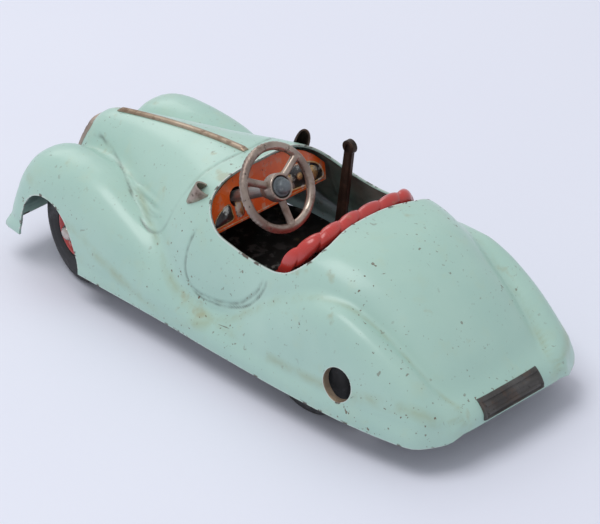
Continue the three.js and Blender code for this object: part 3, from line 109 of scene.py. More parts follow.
def shoot(org, d, tmax=60.0, steps=44):
    org = np.asarray(org, float); d = np.asarray(d, float)
    ts = np.linspace(0.5, tmax, steps)
    ins = np.stack([field(org + d * t) < 0 for t in ts], 0)
    idx = np.minimum(steps - 1 - np.argmax(ins[::-1], 0), steps - 2)
    lo = ts[idx]; hi = ts[idx + 1]
    for _ in range(20):
        mid = (lo + hi) / 2; g = field(org + d * mid[..., None]) < 0
        lo = np.where(g, mid, lo); hi = np.where(g, hi, mid)
    return org + d * ((lo + hi) / 2)[..., None]
def on_skin(p):
    p = np.array(p, float)
    for _ in range(12):
        p = p - grad(p) * field(p)[..., None]
    return p

# ---------------------------------------------------------------- mesh helpers, all in millimetres of the unshifted design
def mesh_obj(name, V, F, smooth=True, mats=None, fmat=None):
    V = np.asarray(V, float).reshape(-1, 3).copy(); V[:, 0] += SX; V *= 0.001
    me = bpy.data.meshes.new(name); me.from_pydata(V.tolist(), [], [list(map(int, f)) for f in F]); me.update()
    bm = bmesh.new(); bm.from_mesh(me); bmesh.ops.remove_doubles(bm, verts=bm.verts, dist=1e-7)
    bmesh.ops.recalc_face_normals(bm, faces=bm.faces); bm.to_mesh(me); bm.free()
    o = bpy.data.objects.new(name, me); bpy.context.scene.collection.objects.link(o)
    if smooth: me.polygons.foreach_set("use_smooth", [True] * len(me.polygons))
    return o
def sharp(o, deg=38):
    me = o.data
    try: me.set_sharp_from_angle(angle=math.radians(deg))
    except Exception: pass
    return o
def modded(o, *mods):
    for kind, kw in mods:
        m = o.modifiers.new(kind.lower(), kind)
        for k, v in kw.items(): setattr(m, k, v)
    dg = bpy.context.evaluated_depsgraph_get(); me = bpy.data.meshes.new_from_object(o.evaluated_get(dg))
    o.modifiers.clear(); old = o.data; o.data = me; bpy.data.meshes.remove(old)
    return o
def boolean(o, cutters, op='DIFFERENCE'):
    for c in cutters:
        m = o.modifiers.new('b', 'BOOLEAN'); m.object = c; m.operation = op
        try: m.solver = 'MANIFOLD'
        except Exception: m.solver = 'EXACT'
    dg = bpy.context.evaluated_depsgraph_get(); me = bpy.data.meshes.new_from_object(o.evaluated_get(dg))
    o.modifiers.clear(); o.data = me
    for c in cutters: bpy.data.objects.remove(c, do_unlink=True)
    return o
def join(name, objs):
    bm = bmesh.new()
    for k in objs:
        t = bmesh.new(); t.from_mesh(k.data); t.transform(k.matrix_world)
        me = bpy.data.meshes.new('t'); t.to_mesh(me); t.free(); bm.from_mesh(me); bpy.data.meshes.remove(me)
    me = bpy.data.meshes.new(name); bm.to_mesh(me); bm.free()
    for k in objs: bpy.data.objects.remove(k, do_unlink=True)
    o = bpy.data.objects.new(name, me); bpy.context.scene.collection.objects.link(o)
    me.polygons.foreach_set("use_smooth", [True] * len(me.polygons))
    return o
def loft(loops, closed=False, cap=True):
    n = len(loops[0]); V = [p for L in loops for p in L]; F = []
    m = len(loops)
    for i in range(m if closed else m - 1):
        for j in range(n):
            k = (j + 1) % n; a = i * n; b = ((i + 1) % m) * n
            F.append((a + j, a + k, b + k, b + j))
    if cap and not closed:
        F.append(tuple(range(n - 1, -1, -1))); F.append(tuple(range((m - 1) * n, m * n)))
    return V, F
def basis(axis):
    a = np.asarray(axis, float); a = a / np.linalg.norm(a)
    u = np.cross(a, [0, 0, 1.0] if abs(a[2]) < 0.9 else [1.0, 0, 0]); u /= np.linalg.norm(u); w = np.cross(a, u)
    return a, u, w
def lathe(name, prof, org, axis, n=64, closed=True, **k):
    # prof: (radius, distance along axis)
    a, u, w = basis(axis); org = np.asarray(org, float); L = []
    for i in range(n):
        t = 2 * math.pi * i / n; d = u * math.cos(t) + w * math.sin(t)
        L.append([org + a * h + d * max(r, 0.0) for r, h in prof])
    V, F = loft(L, closed=True)
    if not closed:
        m = len(prof); F = [f for i, f in enumerate(F) if (i % m) != m - 1]
    return mesh_obj(name, V, F, **k)
def smooth_prof(pts, n=6, closed=True):
    P = np.asarray(pts, float); out = []; m = len(P)
    for i in range(m if closed else m - 1):
        p0, p1, p2, p3 = P[(i - 1) % m] if closed or i > 0 else P[i], P[i], P[(i + 1) % m], P[(i + 2) % m] if closed or i + 2 < m else P[(i + 1) % m]
        for j in range(n):
            t = j / n
            out.append(tuple(0.5 * ((2 * p1) + (p2 - p0) * t + (2 * p0 - 5 * p1 + 4 * p2 - p3) * t * t + (3 * p1 - p0 - 3 * p2 + p3) * t ** 3)))
    if not closed: out.append(tuple(P[-1]))
    return out
def tube(name, path, r, n=12, cap=True, closed=False, flat=1.0, up=(0, 0, 1)):
    P = np.asarray(path, float); m = len(P)
    T = (np.roll(P, -1, 0) - np.roll(P, 1, 0)) if closed else np.gradient(P, axis=0)
    T /= np.linalg.norm(T, axis=1, keepdims=True); up = np.asarray(up, float); L = []
    rr = np.broadcast_to(np.asarray(r, float), (m,))
    for i in range(m):
        u = np.cross(T[i], up); u /= max(np.linalg.norm(u), 1e-9); w = np.cross(u, T[i])
        L.append([P[i] + rr[i] * (u * math.cos(a) + flat * w * math.sin(a)) for a in np.linspace(0, 2 * math.pi, n, endpoint=False)])
    V, F = loft(L, closed=closed, cap=cap); return mesh_obj(name, V, F)
def prism(name, poly, plane, lo, hi, **k):
    P = [np.array([a, lo, b]) if plane == 'xz' else np.array([lo, a, b]) if plane == 'yz' else np.array([a, b, lo]) for a, b in poly]
    Q = [np.array([a, hi, b]) if plane == 'xz' else np.array([hi, a, b]) if plane == 'yz' else np.array([a, b, hi]) for a, b in poly]
    V, F = loft([P, Q]); k.setdefault('smooth', False); return mesh_obj(name, V, F, **k)
def seg_dist(P, line):
    best = np.full(len(P), 1e9); L = np.asarray(line, float); par = np.zeros(len(P))
    tot = len(L) - 1
    for i in range(tot):
        a, b = L[i], L[i + 1]; d = b - a; t = np.clip(((P - a) @ d) / (d @ d), 0, 1)
        q = np.linalg.norm(P - (a + t[:, None] * d), axis=1); c = q < best
        best = np.where(c, q, best); par = np.where(c, (i + t) / tot, par)
    return best, par
def curve(pts, n=10):
    P = np.asarray(pts, float); out = []
    for i in range(len(P) - 1):
        p0, p1, p2, p3 = P[max(i - 1, 0)], P[i], P[i + 1], P[min(i + 2, len(P) - 1)]
        for j in range(n):
            t = j / n; out.append(0.5 * ((2 * p1) + (p2 - p0) * t + (2 * p0 - 5 * p1 + 4 * p2 - p3) * t * t + (3 * p1 - p0 - 3 * p2 + p3) * t ** 3))
    out.append(P[-1]); return np.array(out)

# ---------------------------------------------------------------- body shell
RIM = [[9.3, 0, 38.6], [9.5, 5, 38.3], [9.6, 10, 37.4], [9.0, 14.4, 35.9], [6.9, 18.2, 34.2], [1.2, 21.9, 31.9], [-4, 22, 30.9], [-8, 21.6, 30.2], [-12, 21.0, 29.8], [-16, 21.1, 30.0], [-20, 21.2, 31.1], [-23.7, 19.8, 33.4], [-25.9, 17.2, 36.0], [-26, 14, 37.2], [-25.4, 11, 37.3], [-24.4, 7, 37.4], [-24.0, 3.5, 37.5], [-23.9, 0, 37.6]]
def rim_loop(n):
    f = [pchip([(i, p[k]) for i, p in enumerate(RIM)]) for k in range(3)]
    s = np.linspace(0, len(RIM) - 1, n + 1); half = on_skin(np.stack([f[0](s), np.maximum(f[1](s), 0), f[2](s)], -1))
    half[0, 1] = half[-1, 1] = 0
    return np.concatenate([half, (half[1:-1] * [1, -1, 1])[::-1]])
RIML = rim_loop(90)
ARCH = [[41.0, 0], [41.3, 8.6], [42.6, 12.0], [44.8, 15.8], [47.6, 18.7], [50.7, 20.5], [53.8, 21.2], [56.6, 21.0], [59.0, 20.0], [60.8, 18.0], [61.8, 15.0], [62.1, 11.5], [62.1, 6], [62.0, 0]]
ARCHS = np.array([[41.0, -2]] + smooth_prof(ARCH[1:-1], 6, closed=False) + [[62.0, -2]])
def mir(L): return [np.array(L, float), np.array(L, float) * [1, -1, 1]]
DOOR = curve([(8.2, 20.9, 30.7), (8.9, 21.9, 28.6), (9.4, 23.0, 25.8), (9.4, 23.9, 22.7), (8.8, 24.5, 20.3), (7.4, 24.8, 18.4), (5.7, 24.9, 17.4), (2.6, 24.7, 16.9), (-1.0, 24.5, 17.1), (-4.7, 24.2, 17.8), (-8.3, 23.9, 19.4), (-11.2, 23.6, 22.0), (-13.3, 23.1, 24.6), (-14.4, 22.4, 27.6)])
DOOR2 = curve([(6.6, 24.9, 17.4), (3.8, 24.9, 16.2), (0.1, 24.6, 16.1), (-3.5, 24.4, 16.6), (-7.2, 24.1, 17.8), (-10.9, 24.0, 19.9), (-13.4, 23.5, 22.5), (-15.1, 23.0, 25.7), (-15.5, 22.4, 27.7)])
SHUT = curve([(29.3, 19.8, 24.7), (26.7, 20.6, 23.6), (24.3, 20.9, 22.9), (22.2, 20.6, 23.3), (20.6, 20.2, 25.0), (19.7, 19.6, 27.3), (18.9, 18.2, 30.2), (17.9, 15.9, 33.7), (16.9, 13.0, 36.2), (16.3, 11.0, 37.5), (15.6, 8.8, 38.4), (15.0, 6.2, 39.1), (14.5, 3.4, 39.5), (14.3, 0, 39.6)])
FEND = curve([(58.5, 6.4, 28.5), (56.2, 6.8, 29.2), (51.6, 8.4, 29.0), (46.4, 10.6, 28.6), (40.9, 13.5, 28.2), (35.8, 16.3, 27.2), (31.7, 18.6, 25.8), (29.1, 19.8, 24.7)])
STRAKES = [curve(p) for p in ([(41.5, 13.2, 28.6), (37.0, 14.6, 28.0), (33.6, 15.0, 27.8), (29.8, 15.9, 27.6), (25.1, 17.2, 28.0)], [(37.6, 15.4, 27.4), (33.5, 16.4, 26.9), (30.1, 17.0, 26.3), (26.6, 17.9, 25.9), (23.9, 18.4, 26.4)], [(33.5, 16.6, 26.0), (30.3, 17.4, 25.5), (27.4, 18.2, 24.8), (25.0, 18.8, 24.7)])]
GROOVES = [(DOOR, 0.20, 0.30), (DOOR2, 0.17, 0.26), (SHUT, 0.16, 0.28), (FEND[:-14], 0.10, 0.34)]
def press(P):
    """Embossed lines of the pressing: displacement along the normal, and a near-black mask along each line that is
    partly dirt and partly painted shade, with a painted shadow line beside each strake.
    """
    sh = P.shape[:-1]; Q = P.reshape(-1, 3); A = Q * [1, 1, 1]; A = np.stack([Q[:, 0], np.abs(Q[:, 1]), Q[:, 2]], -1)
    dsp = np.zeros(len(A)); line_dirt_and_shade = np.zeros(len(A))
    for L, dep, w in GROOVES:
        near = (A[:, 0] > L[:, 0].min() - 3) & (A[:, 0] < L[:, 0].max() + 3)
        d, t = seg_dist(A[near], L); e = np.clip(np.minimum(t, 1 - t) * 14, 0, 1); g = np.exp(-(d / w) ** 2) * e
        # dark mask in the groove: partly dirt, partly painted shade in the recess
        dsp[near] -= dep * g; line_dirt_and_shade[near] = np.maximum(line_dirt_and_shade[near], g)
        dsp[near] += 0.03 * np.exp(-((d - 0.8) / 0.4) ** 2) * e
    for L in STRAKES:
        near = (A[:, 0] > L[:, 0].min() - 4) & (A[:, 0] < L[:, 0].max() + 4)
        d, t = seg_dist(A[near], L); e = np.clip(np.minimum(t, 1 - t) * 4, 0, 1) ** 0.7
        lower = np.clip((L[:, 2].mean() - A[near][:, 2]) * 0 + 1, 0, 1)
        dsp[near] += 0.30 * np.exp(-(d / 0.6) ** 2) * e - 0.10 * np.exp(-((d - 1.15) / 0.4) ** 2) * e
        # painted shadow line along the lower flank of each strake
        line_dirt_and_shade[near] = np.maximum(line_dirt_and_shade[near], 0.22 * np.exp(-((d - 1.0) / 0.28) ** 2) * e)
    return dsp.reshape(sh), line_dirt_and_shade.reshape(sh)
def body_grid():
    XC = 44.0; q = 1.0
    def rng_(a, b, st): return list(np.linspace(a, b, max(2, int(round((b - a) / (st * q)))), endpoint=False))
    xs = rng_(-44, -20, 0.8) + rng_(-20, 30, 0.40) + rng_(30, 44, 0.65) + [44.0]
    nc = int(34 / q)
    st = [(-XC, -math.pi / 2 * (1 - i / nc)) for i in range(nc)] + [(x, 0) for x in xs] + [(XC, math.pi / 2 * i / nc) for i in range(1, nc + 1)]
    k1, k2 = int(90 / q), int(44 / q)
    ph = np.radians(list(np.linspace(0, 62, k1, endpoint=False)) + list(np.linspace(62, 118, k2, endpoint=False)) + list(np.linspace(118, 180, k1 + 1)))
    X = np.array([s[0] for s in st]); B = np.array([s[1] for s in st])
    org = np.zeros((len(st), len(ph), 3)); org[..., 0] = X[:, None]; org[..., 2] = ZB
    d = np.stack([np.broadcast_to(np.sin(B)[:, None], org.shape[:2]), np.cos(B)[:, None] * np.cos(ph)[None], np.cos(B)[:, None] * np.sin(ph)[None]], -1)
    P = drop(shoot(org, d)); P[0] = P[0].mean(0); P[-1] = P[-1].mean(0)
    return P
def grid_normals(P):
    u = np.gradient(P, axis=0); v = np.gradient(P, axis=1); n = np.cross(u, v); l = np.linalg.norm(n, axis=-1, keepdims=True)
    n = n / np.maximum(l, 1e-9)
    if n[n.shape[0] // 2, n.shape[1] // 2, 2] < 0: n = -n
    n[0] = [-1, 0, 0.0]; n[-1] = [1, 0, 0.0]
    return n
def build_shell():
    P = body_grid(); N = grid_normals(P); dsp, _ = press(P); P = P + N * dsp[..., None]
    I = P - 0.6 * N; I[:, 0, 2] = P[:, 0, 2]; I[:, -1, 2] = P[:, -1, 2]
    nr, nc = P.shape[:2]; V = np.concatenate([P.reshape(-1, 3), I.reshape(-1, 3)]); K = nr * nc; F = []; M = []
    for i in range(nr - 1):
        for j in range(nc - 1):
            a, b, c, d = i * nc + j, i * nc + j + 1, (i + 1) * nc + j + 1, (i + 1) * nc + j
            if i == 0: F += [(b, c, d), (K + d, K + c, K + b)]
            elif i == nr - 2: F += [(a, b, d), (K + d, K + b, K + a)]
            else: F += [(a, b, c, d), (K + d, K + c, K + b, K + a)]
            M += [0, 1]
        for e in (0, nc - 1):
            a, d = i * nc + e, (i + 1) * nc + e
            F.append((a, d, K + d, K + a) if e == 0 else (d, a, K + a, K + d)); M.append(0)
    # poles: every vertex of row 0 is one point, merged by distance
    o = mesh_obj('shell', V, F)
    Nn = grad(RIML); lo = RIML - 3.2 * Nn; hi = RIML + 7 * Nn; n = len(RIML)
    CV = np.concatenate([lo, hi, [[-8, 0, 27], [-8, 0, 60]]]); CF = []
    for i in range(n):
        j = (i + 1) % n; CF += [(i, j, n + j, n + i), (j, i, 2 * n), (n + i, n + j, 2 * n + 1)]
    cut = [mesh_obj('c0', CV, CF)]
    cut.append(prism('c1', ARCHS, 'xz', 12.5, 40)); cut.append(prism('c2', ARCHS, 'xz', -40, -12.5))
    kh = [(-42.6 + 4.0 * math.cos(a), 15.4 + 4.0 * math.sin(a)) for a in np.linspace(0, 2 * math.pi, 72, endpoint=False)]
    cut.append(prism('c3', kh, 'xz', 15, 40))
    boolean(o, cut)
    return o
shell = build_shell()
# then per-vertex masks of the shell: pressed lines with dirt and painted shade, the inner face with painted shade,
# edges, valleys
me = shell.data
co = np.zeros(len(me.vertices) * 3); me.vertices.foreach_get('co', co); co = co.reshape(-1, 3) * 1000; co[:, 0] -= SX
AB = np.stack([co[:, 0], np.abs(co[:, 1]), co[:, 2]], -1)
_, line_dirt_and_shade = press(co)
fv = field(co)
z_un = co[:, 2]
# mask of the shell's inner face; the paint below gives that face darker greens, which is painted shade
inner = np.clip((-fv - 0.32) / 0.2, 0, 1) * np.clip((co[:, 2] - 9) / 2, 0, 1)
m_, f_, r_, g_ = parts_of(co)
val = np.maximum(np.clip(1 - np.abs(m_ - f_) / 1.7, 0, 1), np.clip(1 - np.abs(m_ - r_) / 1.6, 0, 1)) * np.clip((co[:, 2] - 8) / 3, 0, 1)
rd, _ = seg_dist(co, np.concatenate([RIML, RIML[:1]])); 
ad = np.min([np.hypot(co[:, 0] - a[0], co[:, 2] - a[1]) for a in ARCHS[::2]], 0)
kd = np.abs(np.hypot(co[:, 0] + 42.6, co[:, 2] - 15.4) - 4.0) + np.where(co[:, 1] > 15, 0, 9)
bz = co[:, 2] - ev('zb', co[:, 0])
edge = np.max([np.exp(-(rd / 0.5) ** 2), 0.8 * np.exp(-(kd / 0.5) ** 2), 0.8 * np.exp(-np.clip(bz, 0, 99) / 0.6), np.where(np.abs(co[:, 1]) > 13, np.exp(-(ad / 0.6) ** 2), 0)], 0)
for nme, arr in (('line_dirt_and_shade', line_dirt_and_shade), ('inner', inner), ('valley', val), ('edge', edge)):
    at = me.attributes.new(nme, 'FLOAT', 'POINT'); at.data.foreach_set('value', arr.astype(np.float32))
me.polygons.foreach_set("use_smooth", [True] * len(me.polygons)); sharp(shell, 50)
shell.name = 'body_pressing'

from mathutils.bvhtree import BVHTree
def bvh_of(o):
    b = bmesh.new(); b.from_mesh(o.data); t = BVHTree.FromBMesh(b); b.free(); return t
SH = bvh_of(shell)
def cast(p, d):
    """First hit of the shell from outside, in design millimetres, with its outward normal."""
    q = Vector(((p[0] + SX) * 1e-3, p[1] * 1e-3, p[2] * 1e-3)); h = SH.ray_cast(q, Vector(d).normalized())
    if h[0] is None: return np.array(p, float), -np.array(d, float)
    return np.array([h[0][0] * 1e3 - SX, h[0][1] * 1e3, h[0][2] * 1e3]), np.array(h[1])
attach(shell, S_BODY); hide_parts('body_shell')
PIECES = []
def piece(o, body, slot, mat, *nodes):
    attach(o, body)
    if nodes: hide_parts(*nodes)
    o.data.materials.clear(); o.data.materials.append(MAT[mat]); return o

# ---------------------------------------------------------------- materials
class Mt:
    def __init__(s, name):
        s.m = bpy.data.materials.new(name); s.m.use_nodes = True; s.t = s.m.node_tree; s.t.nodes.clear()
        s.o = s.t.nodes.new('ShaderNodeOutputMaterial'); s.b = s.t.nodes.new('ShaderNodeBsdfPrincipled')
        s.t.links.new(s.b.outputs[0], s.o.inputs[0]); s.tc = s.t.nodes.new('ShaderNodeTexCoord')
    def put(s, sock, v):
        if hasattr(v, 'is_output'): s.t.links.new(v, sock)
        elif isinstance(v, (tuple, list)) and len(v) == 3 and sock.type == 'RGBA': sock.default_value = (*v, 1)
        else: sock.default_value = v
    def noise(s, scale, detail=3, rough=0.55, dist=0.0, vec=None):
        n = s.t.nodes.new('ShaderNodeTexNoise'); s.t.links.new(vec or s.tc.outputs['Object'], n.inputs['Vector'])
        n.inputs['Scale'].default_value = scale; n.inputs['Detail'].default_value = detail; n.inputs['Roughness'].default_value = rough; n.inputs['Distortion'].default_value = dist
        return n.outputs[0]
    def voro(s, scale, vec=None):
        n = s.t.nodes.new('ShaderNodeTexVoronoi'); s.t.links.new(vec or s.tc.outputs['Object'], n.inputs['Vector']); n.inputs['Scale'].default_value = scale
        return n.outputs['Distance']
    def scaled(s, v):
        n = s.t.nodes.new('ShaderNodeMapping'); s.t.links.new(s.tc.outputs['Object'], n.inputs['Vector']); n.inputs['Scale'].default_value = v
        return n.outputs[0]
    def math(s, op, a, b=0.0, clamp=False):
        n = s.t.nodes.new('ShaderNodeMath'); n.operation = op; n.use_clamp = clamp; s.put(n.inputs[0], a); s.put(n.inputs[1], b); return n.outputs[0]
    def step(s, v, lo, hi, a=0.0, b=1.0):
        n = s.t.nodes.new('ShaderNodeMapRange'); n.interpolation_type = 'SMOOTHSTEP'; s.put(n.inputs[0], v); n.inputs[1].default_value = lo; n.inputs[2].default_value = hi; n.inputs[3].default_value = a; n.inputs[4].default_value = b
        return n.outputs[0]
    def mix(s, f, a, b):
        n = s.t.nodes.new('ShaderNodeMix'); n.data_type = 'RGBA'; s.put(n.inputs[0], f); s.put(n.inputs[6], a); s.put(n.inputs[7], b); return n.outputs[2]
    def attr(s, name):
        n = s.t.nodes.new('ShaderNodeAttribute'); n.attribute_name = name; return n.outputs['Fac']
    def point(s):
        n = s.t.nodes.new('ShaderNodeNewGeometry'); return n.outputs['Pointiness']
    def xyz(s):
        n = s.t.nodes.new('ShaderNodeSeparateXYZ'); s.t.links.new(s.tc.outputs['Object'], n.inputs[0]); return n.outputs
    def bump(s, h, dist, strength=1.0, prev=None):
        n = s.t.nodes.new('ShaderNodeBump'); n.inputs['Distance'].default_value = dist; n.inputs['Strength'].default_value = strength; s.put(n.inputs['Height'], h)
        if prev is not None: s.t.links.new(prev, n.inputs['Normal'])
        return n.outputs[0]
    def end(s, color, rough, metal=0.0, normal=None, coat=0.0, coat_r=0.1, spec=0.5):
        s.put(s.b.inputs['Base Color'], color); s.put(s.b.inputs['Roughness'], rough); s.put(s.b.inputs['Metallic'], metal)
        s.b.inputs['Coat Weight'].default_value = coat; s.b.inputs['Coat Roughness'].default_value = coat_r; s.b.inputs['Specular IOR Level'].default_value = spec
        if normal is not None: s.t.links.new(normal, s.b.inputs['Normal'])
        return s.m
MAT = {}
def paint(name, base, dark, grime, rust=(0.13, 0.05, 0.02), chips=1.0, rough=0.34, coat=0.25, shell_attrs=False, bright=(0.62, 0.68, 0.64)):
    m = Mt(name)
    big = m.noise(38, 4, 0.6); mid = m.noise(160, 4, 0.6); fine = m.noise(900, 3, 0.6)
    c = m.mix(m.step(big, 0.35, 0.68), base, dark)
    c = m.mix(m.math('MULTIPLY', m.step(mid, 0.52, 0.75), 0.35), c, grime)
    if shell_attrs:
        v = m.math('MULTIPLY', m.attr('valley'), m.step(m.noise(120, 4, 0.65), 0.36, 0.66), True)
        c = m.mix(m.math('MULTIPLY', v, 0.5), c, (0.33, 0.38, 0.22))
        # painted shade: near-black along the pressed lines and beside the strakes, partly dirt and partly painted shade
        # in the recesses
        c = m.mix(m.math('MULTIPLY', m.attr('line_dirt_and_shade'), m.step(m.noise(220, 3), 0.36, 0.60, 0.15, 0.85)), c, (0.07, 0.08, 0.065))
    zone = m.step(m.noise(55, 3, 0.6), 0.40, 0.64, 0.15, 1.0)
    sp = m.noise(620, 2, 0.5)
    speck = m.math('MAXIMUM', m.math('MULTIPLY', m.step(sp, 0.725 - 0.03 * chips, 0.755 - 0.03 * chips), zone), m.math('MULTIPLY', m.step(m.noise(1150, 2, 0.5), 0.70 - 0.02 * chips, 0.74 - 0.02 * chips), m.math('MULTIPLY', zone, 0.8)))
    stain = m.math('MULTIPLY', m.step(m.noise(170, 3, 0.5), 0.64, 0.76), 0.42)
    c = m.mix(stain, c, (0.33, 0.28, 0.13))
    c = m.mix(m.math('MULTIPLY', speck, 0.85), c, rust)
    # hairline scratches, stretched noise
    scr = m.step(m.noise(1.0, 2, 0.5, 0.0, m.scaled((60, 1500, 260))), 0.755, 0.775)
    scr = m.math('MULTIPLY', scr, m.step(m.noise(70, 2), 0.52, 0.62))
    c = m.mix(m.math('MULTIPLY', scr, 0.7), c, (0.10, 0.06, 0.04))
    r = m.math('ADD', m.step(big, 0.3, 0.7, rough - 0.05, rough + 0.07), m.math('MULTIPLY', speck, 0.4))
    if shell_attrs:
        e = m.attr('edge')
        c = m.mix(m.math('MULTIPLY', m.step(e, 0.55, 0.8), 0.75), c, bright)
        ch = m.math('MULTIPLY', m.step(e, 0.25, 0.6), m.step(m.noise(420, 3, 0.6), 0.56, 0.62))
        c = m.mix(m.math('MULTIPLY', ch, 0.9), c, (0.07, 0.035, 0.02))
        # painted shade: the inner face of the shell is painted in darker greens than the outside
        ins = m.attr('inner')
        c = m.mix(ins, c, m.mix(m.step(mid, 0.4, 0.7), (0.22, 0.35, 0.31), (0.12, 0.20, 0.17)))
    else:
        e = m.step(m.point(), 0.53, 0.60)
        ch = m.math('MULTIPLY', e, m.step(m.noise(420, 3, 0.6), 0.52, 0.62))
        c = m.mix(m.math('MULTIPLY', ch, 0.8), c, bright)
    n = m.bump(big, 0.00025, 0.25); n = m.bump(fine, 0.00002, 0.35, n); n = m.bump(m.math('MULTIPLY', speck, -1.0), 0.00006, 0.8, n)
    MAT[name] = m.end(c, r, 0.0, n, coat, 0.18)
def metal(name, base, dark, rough=0.38, metallic=0.9, pit=0.5, rust=(0.10, 0.045, 0.02), rustiness=0.3, pit_scale=1300):
    m = Mt(name)
    big = m.noise(110, 4, 0.6); fine = m.noise(pit_scale, 3, 0.65)
    c = m.mix(m.step(big, 0.35, 0.68), base, dark)
    p = m.step(fine, 0.60, 0.70)
    c = m.mix(m.math('MULTIPLY', p, pit), c, tuple(0.35 * v for v in dark))
    rr = m.math('MULTIPLY', m.step(m.noise(300, 4, 0.65), 0.52, 0.66), rustiness)
    c = m.mix(rr, c, rust)
    edge = m.step(m.point(), 0.52, 0.60)
    c = m.mix(m.math('MULTIPLY', edge, 0.35), c, tuple(min(1, 1.5 * v) for v in base))
    r = m.math('ADD', m.step(big, 0.3, 0.7, rough - 0.07, rough + 0.1), m.math('MULTIPLY', rr, 0.35))
    mt = m.math('SUBTRACT', metallic, m.math('MULTIPLY', rr, 0.7), True)
    n = m.bump(big, 0.0001, 0.3); n = m.bump(m.math('MULTIPLY', p, -1.0), 0.00008, 0.9 * pit + 0.1, n)
    n = m.bump(m.noise(1.0, 2, 0.5, 0.0, m.scaled((200, 2500, 900))), 0.00001, 0.3, n)
    MAT[name] = m.end(c, r, mt, n)
paint('mint', (0.420, 0.615, 0.530), (0.385, 0.580, 0.505), (0.44, 0.57, 0.43), shell_attrs=True, chips=0.9, rough=0.36)
paint('red', (0.56, 0.040, 0.030), (0.45, 0.030, 0.024), (0.38, 0.035, 0.025), rust=(0.06, 0.03, 0.02), chips=0.8, rough=0.27, coat=0.5, bright=(0.55, 0.42, 0.36))
paint('black', (0.012, 0.012, 0.012), (0.020, 0.018, 0.016), (0.03, 0.028, 0.025), rust=(0.30, 0.28, 0.25), chips=0.5, rough=0.38, coat=0.3, bright=(0.22, 0.21, 0.2))
paint('orange', (0.74, 0.13, 0.012), (0.60, 0.085, 0.010), (0.44, 0.06, 0.012), rust=(0.04, 0.02, 0.015), chips=1.3, rough=0.30, coat=0.4, bright=(0.5, 0.3, 0.2))
paint('litho_black', (0.015, 0.015, 0.018), (0.03, 0.025, 0.022), (0.05, 0.03, 0.02), chips=0.6, rough=0.3, coat=0.4)
paint('litho_cream', (0.62, 0.42, 0.18), (0.55, 0.33, 0.12), (0.40, 0.2, 0.08), chips=0.8, rough=0.32, coat=0.4)
metal('nickel', (0.46, 0.38, 0.32), (0.26, 0.20, 0.17), rough=0.36, pit=0.85, rustiness=0.5, pit_scale=800)
metal('nickel_clean', (0.62, 0.57, 0.52), (0.45, 0.40, 0.36), rough=0.27, pit=0.35, rustiness=0.2)
metal('strip', (0.44, 0.35, 0.26), (0.30, 0.21, 0.14), rough=0.42, metallic=0.75, pit=0.5, rust=(0.12, 0.05, 0.02), rustiness=0.6)
metal('brown', (0.050, 0.032, 0.024), (0.020, 0.013, 0.010), rough=0.5, metallic=0.45, pit=0.6, rustiness=0.5)
metal('plate', (0.115, 0.110, 0.105), (0.065, 0.060, 0.056), rough=0.45, metallic=0.6, pit=0.5, rustiness=0.3)
metal('steel', (0.42, 0.41, 0.40), (0.28, 0.27, 0.26), rough=0.42, pit=0.4, rustiness=0.25)
metal('brass', (0.60, 0.42, 0.16), (0.42, 0.28, 0.11), rough=0.38, pit=0.3, rust=(0.12, 0.09, 0.03), rustiness=0.3)
metal('spring', (0.16, 0.18, 0.22), (0.10, 0.11, 0.14), rough=0.36, pit=0.3, rustiness=0.2)
def rubber():
    m = Mt('rubber'); big = m.noise(90, 4, 0.6); fine = m.noise(1500, 3, 0.7)
    c = m.mix(m.step(big, 0.35, 0.7), (0.022, 0.022, 0.024), (0.040, 0.039, 0.040)); c = m.mix(m.math('MULTIPLY', m.step(m.noise(240, 4, 0.7), 0.5, 0.72), 0.45), c, (0.13, 0.125, 0.13))
    n = m.bump(fine, 0.00003, 0.6); n = m.bump(big, 0.0001, 0.3, n); MAT['rubber'] = m.end(c, m.step(big, 0.3, 0.7, 0.62, 0.8), 0.0, n)
rubber()
def btn():
    m = Mt('button'); big = m.noise(260, 4, 0.6); c = m.mix(m.step(big, 0.35, 0.7), (0.17, 0.20, 0.215), (0.10, 0.115, 0.125))
    c = m.mix(m.math('MULTIPLY', m.step(m.noise(800, 3), 0.58, 0.7), 0.5), c, (0.32, 0.31, 0.28)); MAT['button'] = m.end(c, m.step(big, 0.3, 0.7, 0.42, 0.58), 0.25, m.bump(m.noise(700, 4), 0.00008, 0.5))
btn()
shell.data.materials.clear(); shell.data.materials.append(MAT['mint'])

# ---------------------------------------------------------------- wheels
REAR_X, REAR_Y, FRONT_X, KY, REACH, R0 = -28.8, 22.3, 47.85, 15.6, 5.1, 13.0
ST = math.radians(-12.2)
SP = np.array([-math.sin(ST), math.cos(ST), 0.0])
TY = smooth_prof([(6.42, -2.25), (7.6, -2.85), (9.3, -3.02), (11.0, -2.5), (12.3, -1.75), (12.92, -0.75), (12.92, 0.75), (12.3, 1.75), (11.0, 2.5), (9.3, 3.02), (7.6, 2.85), (6.42, 2.25)], 4, closed=False)
def ring_detail(p):
    r, h = p; g = 0.16 * math.exp(-((r - 8.1) / 0.22) ** 2) + 0.14 * math.exp(-((r - 10.6) / 0.22) ** 2) if abs(h) > 1.9 else 0.0
    return (r, h - math.copysign(g, h))
TY = [ring_detail(p) for p in TY]
def disc_prof(bore):
    return [(bore, -1.0), (2.4, -0.75), (3.2, -0.6), (4.4, -1.1), (5.3, -1.5), (5.9, -2.0), (6.22, -2.15), (6.3, -2.0), (6.3, 1.95), (6.22, 2.12), (6.0, 2.22), (5.75, 2.2), (5.5, 2.0), (5.3, 1.5), (5.0, 1.05), (4.6, 0.86), (4.1, 0.84), (3.7, 0.92), (3.3, 1.12), (2.9, 1.22), (2.4, 1.3), (bore, 1.65)]
CAP = [(0.0, 0.0), (1.9, 0.0), (1.98, 0.08), (1.98, 0.3), (1.9, 0.38), (1.78, 0.45), (1.72, 0.62), (1.6, 0.92), (1.35, 1.2), (1.0, 1.4), (0.5, 1.52), (0.0, 1.55)]
def prof_at(prof, off): return [(r, h + off) for r, h in prof]
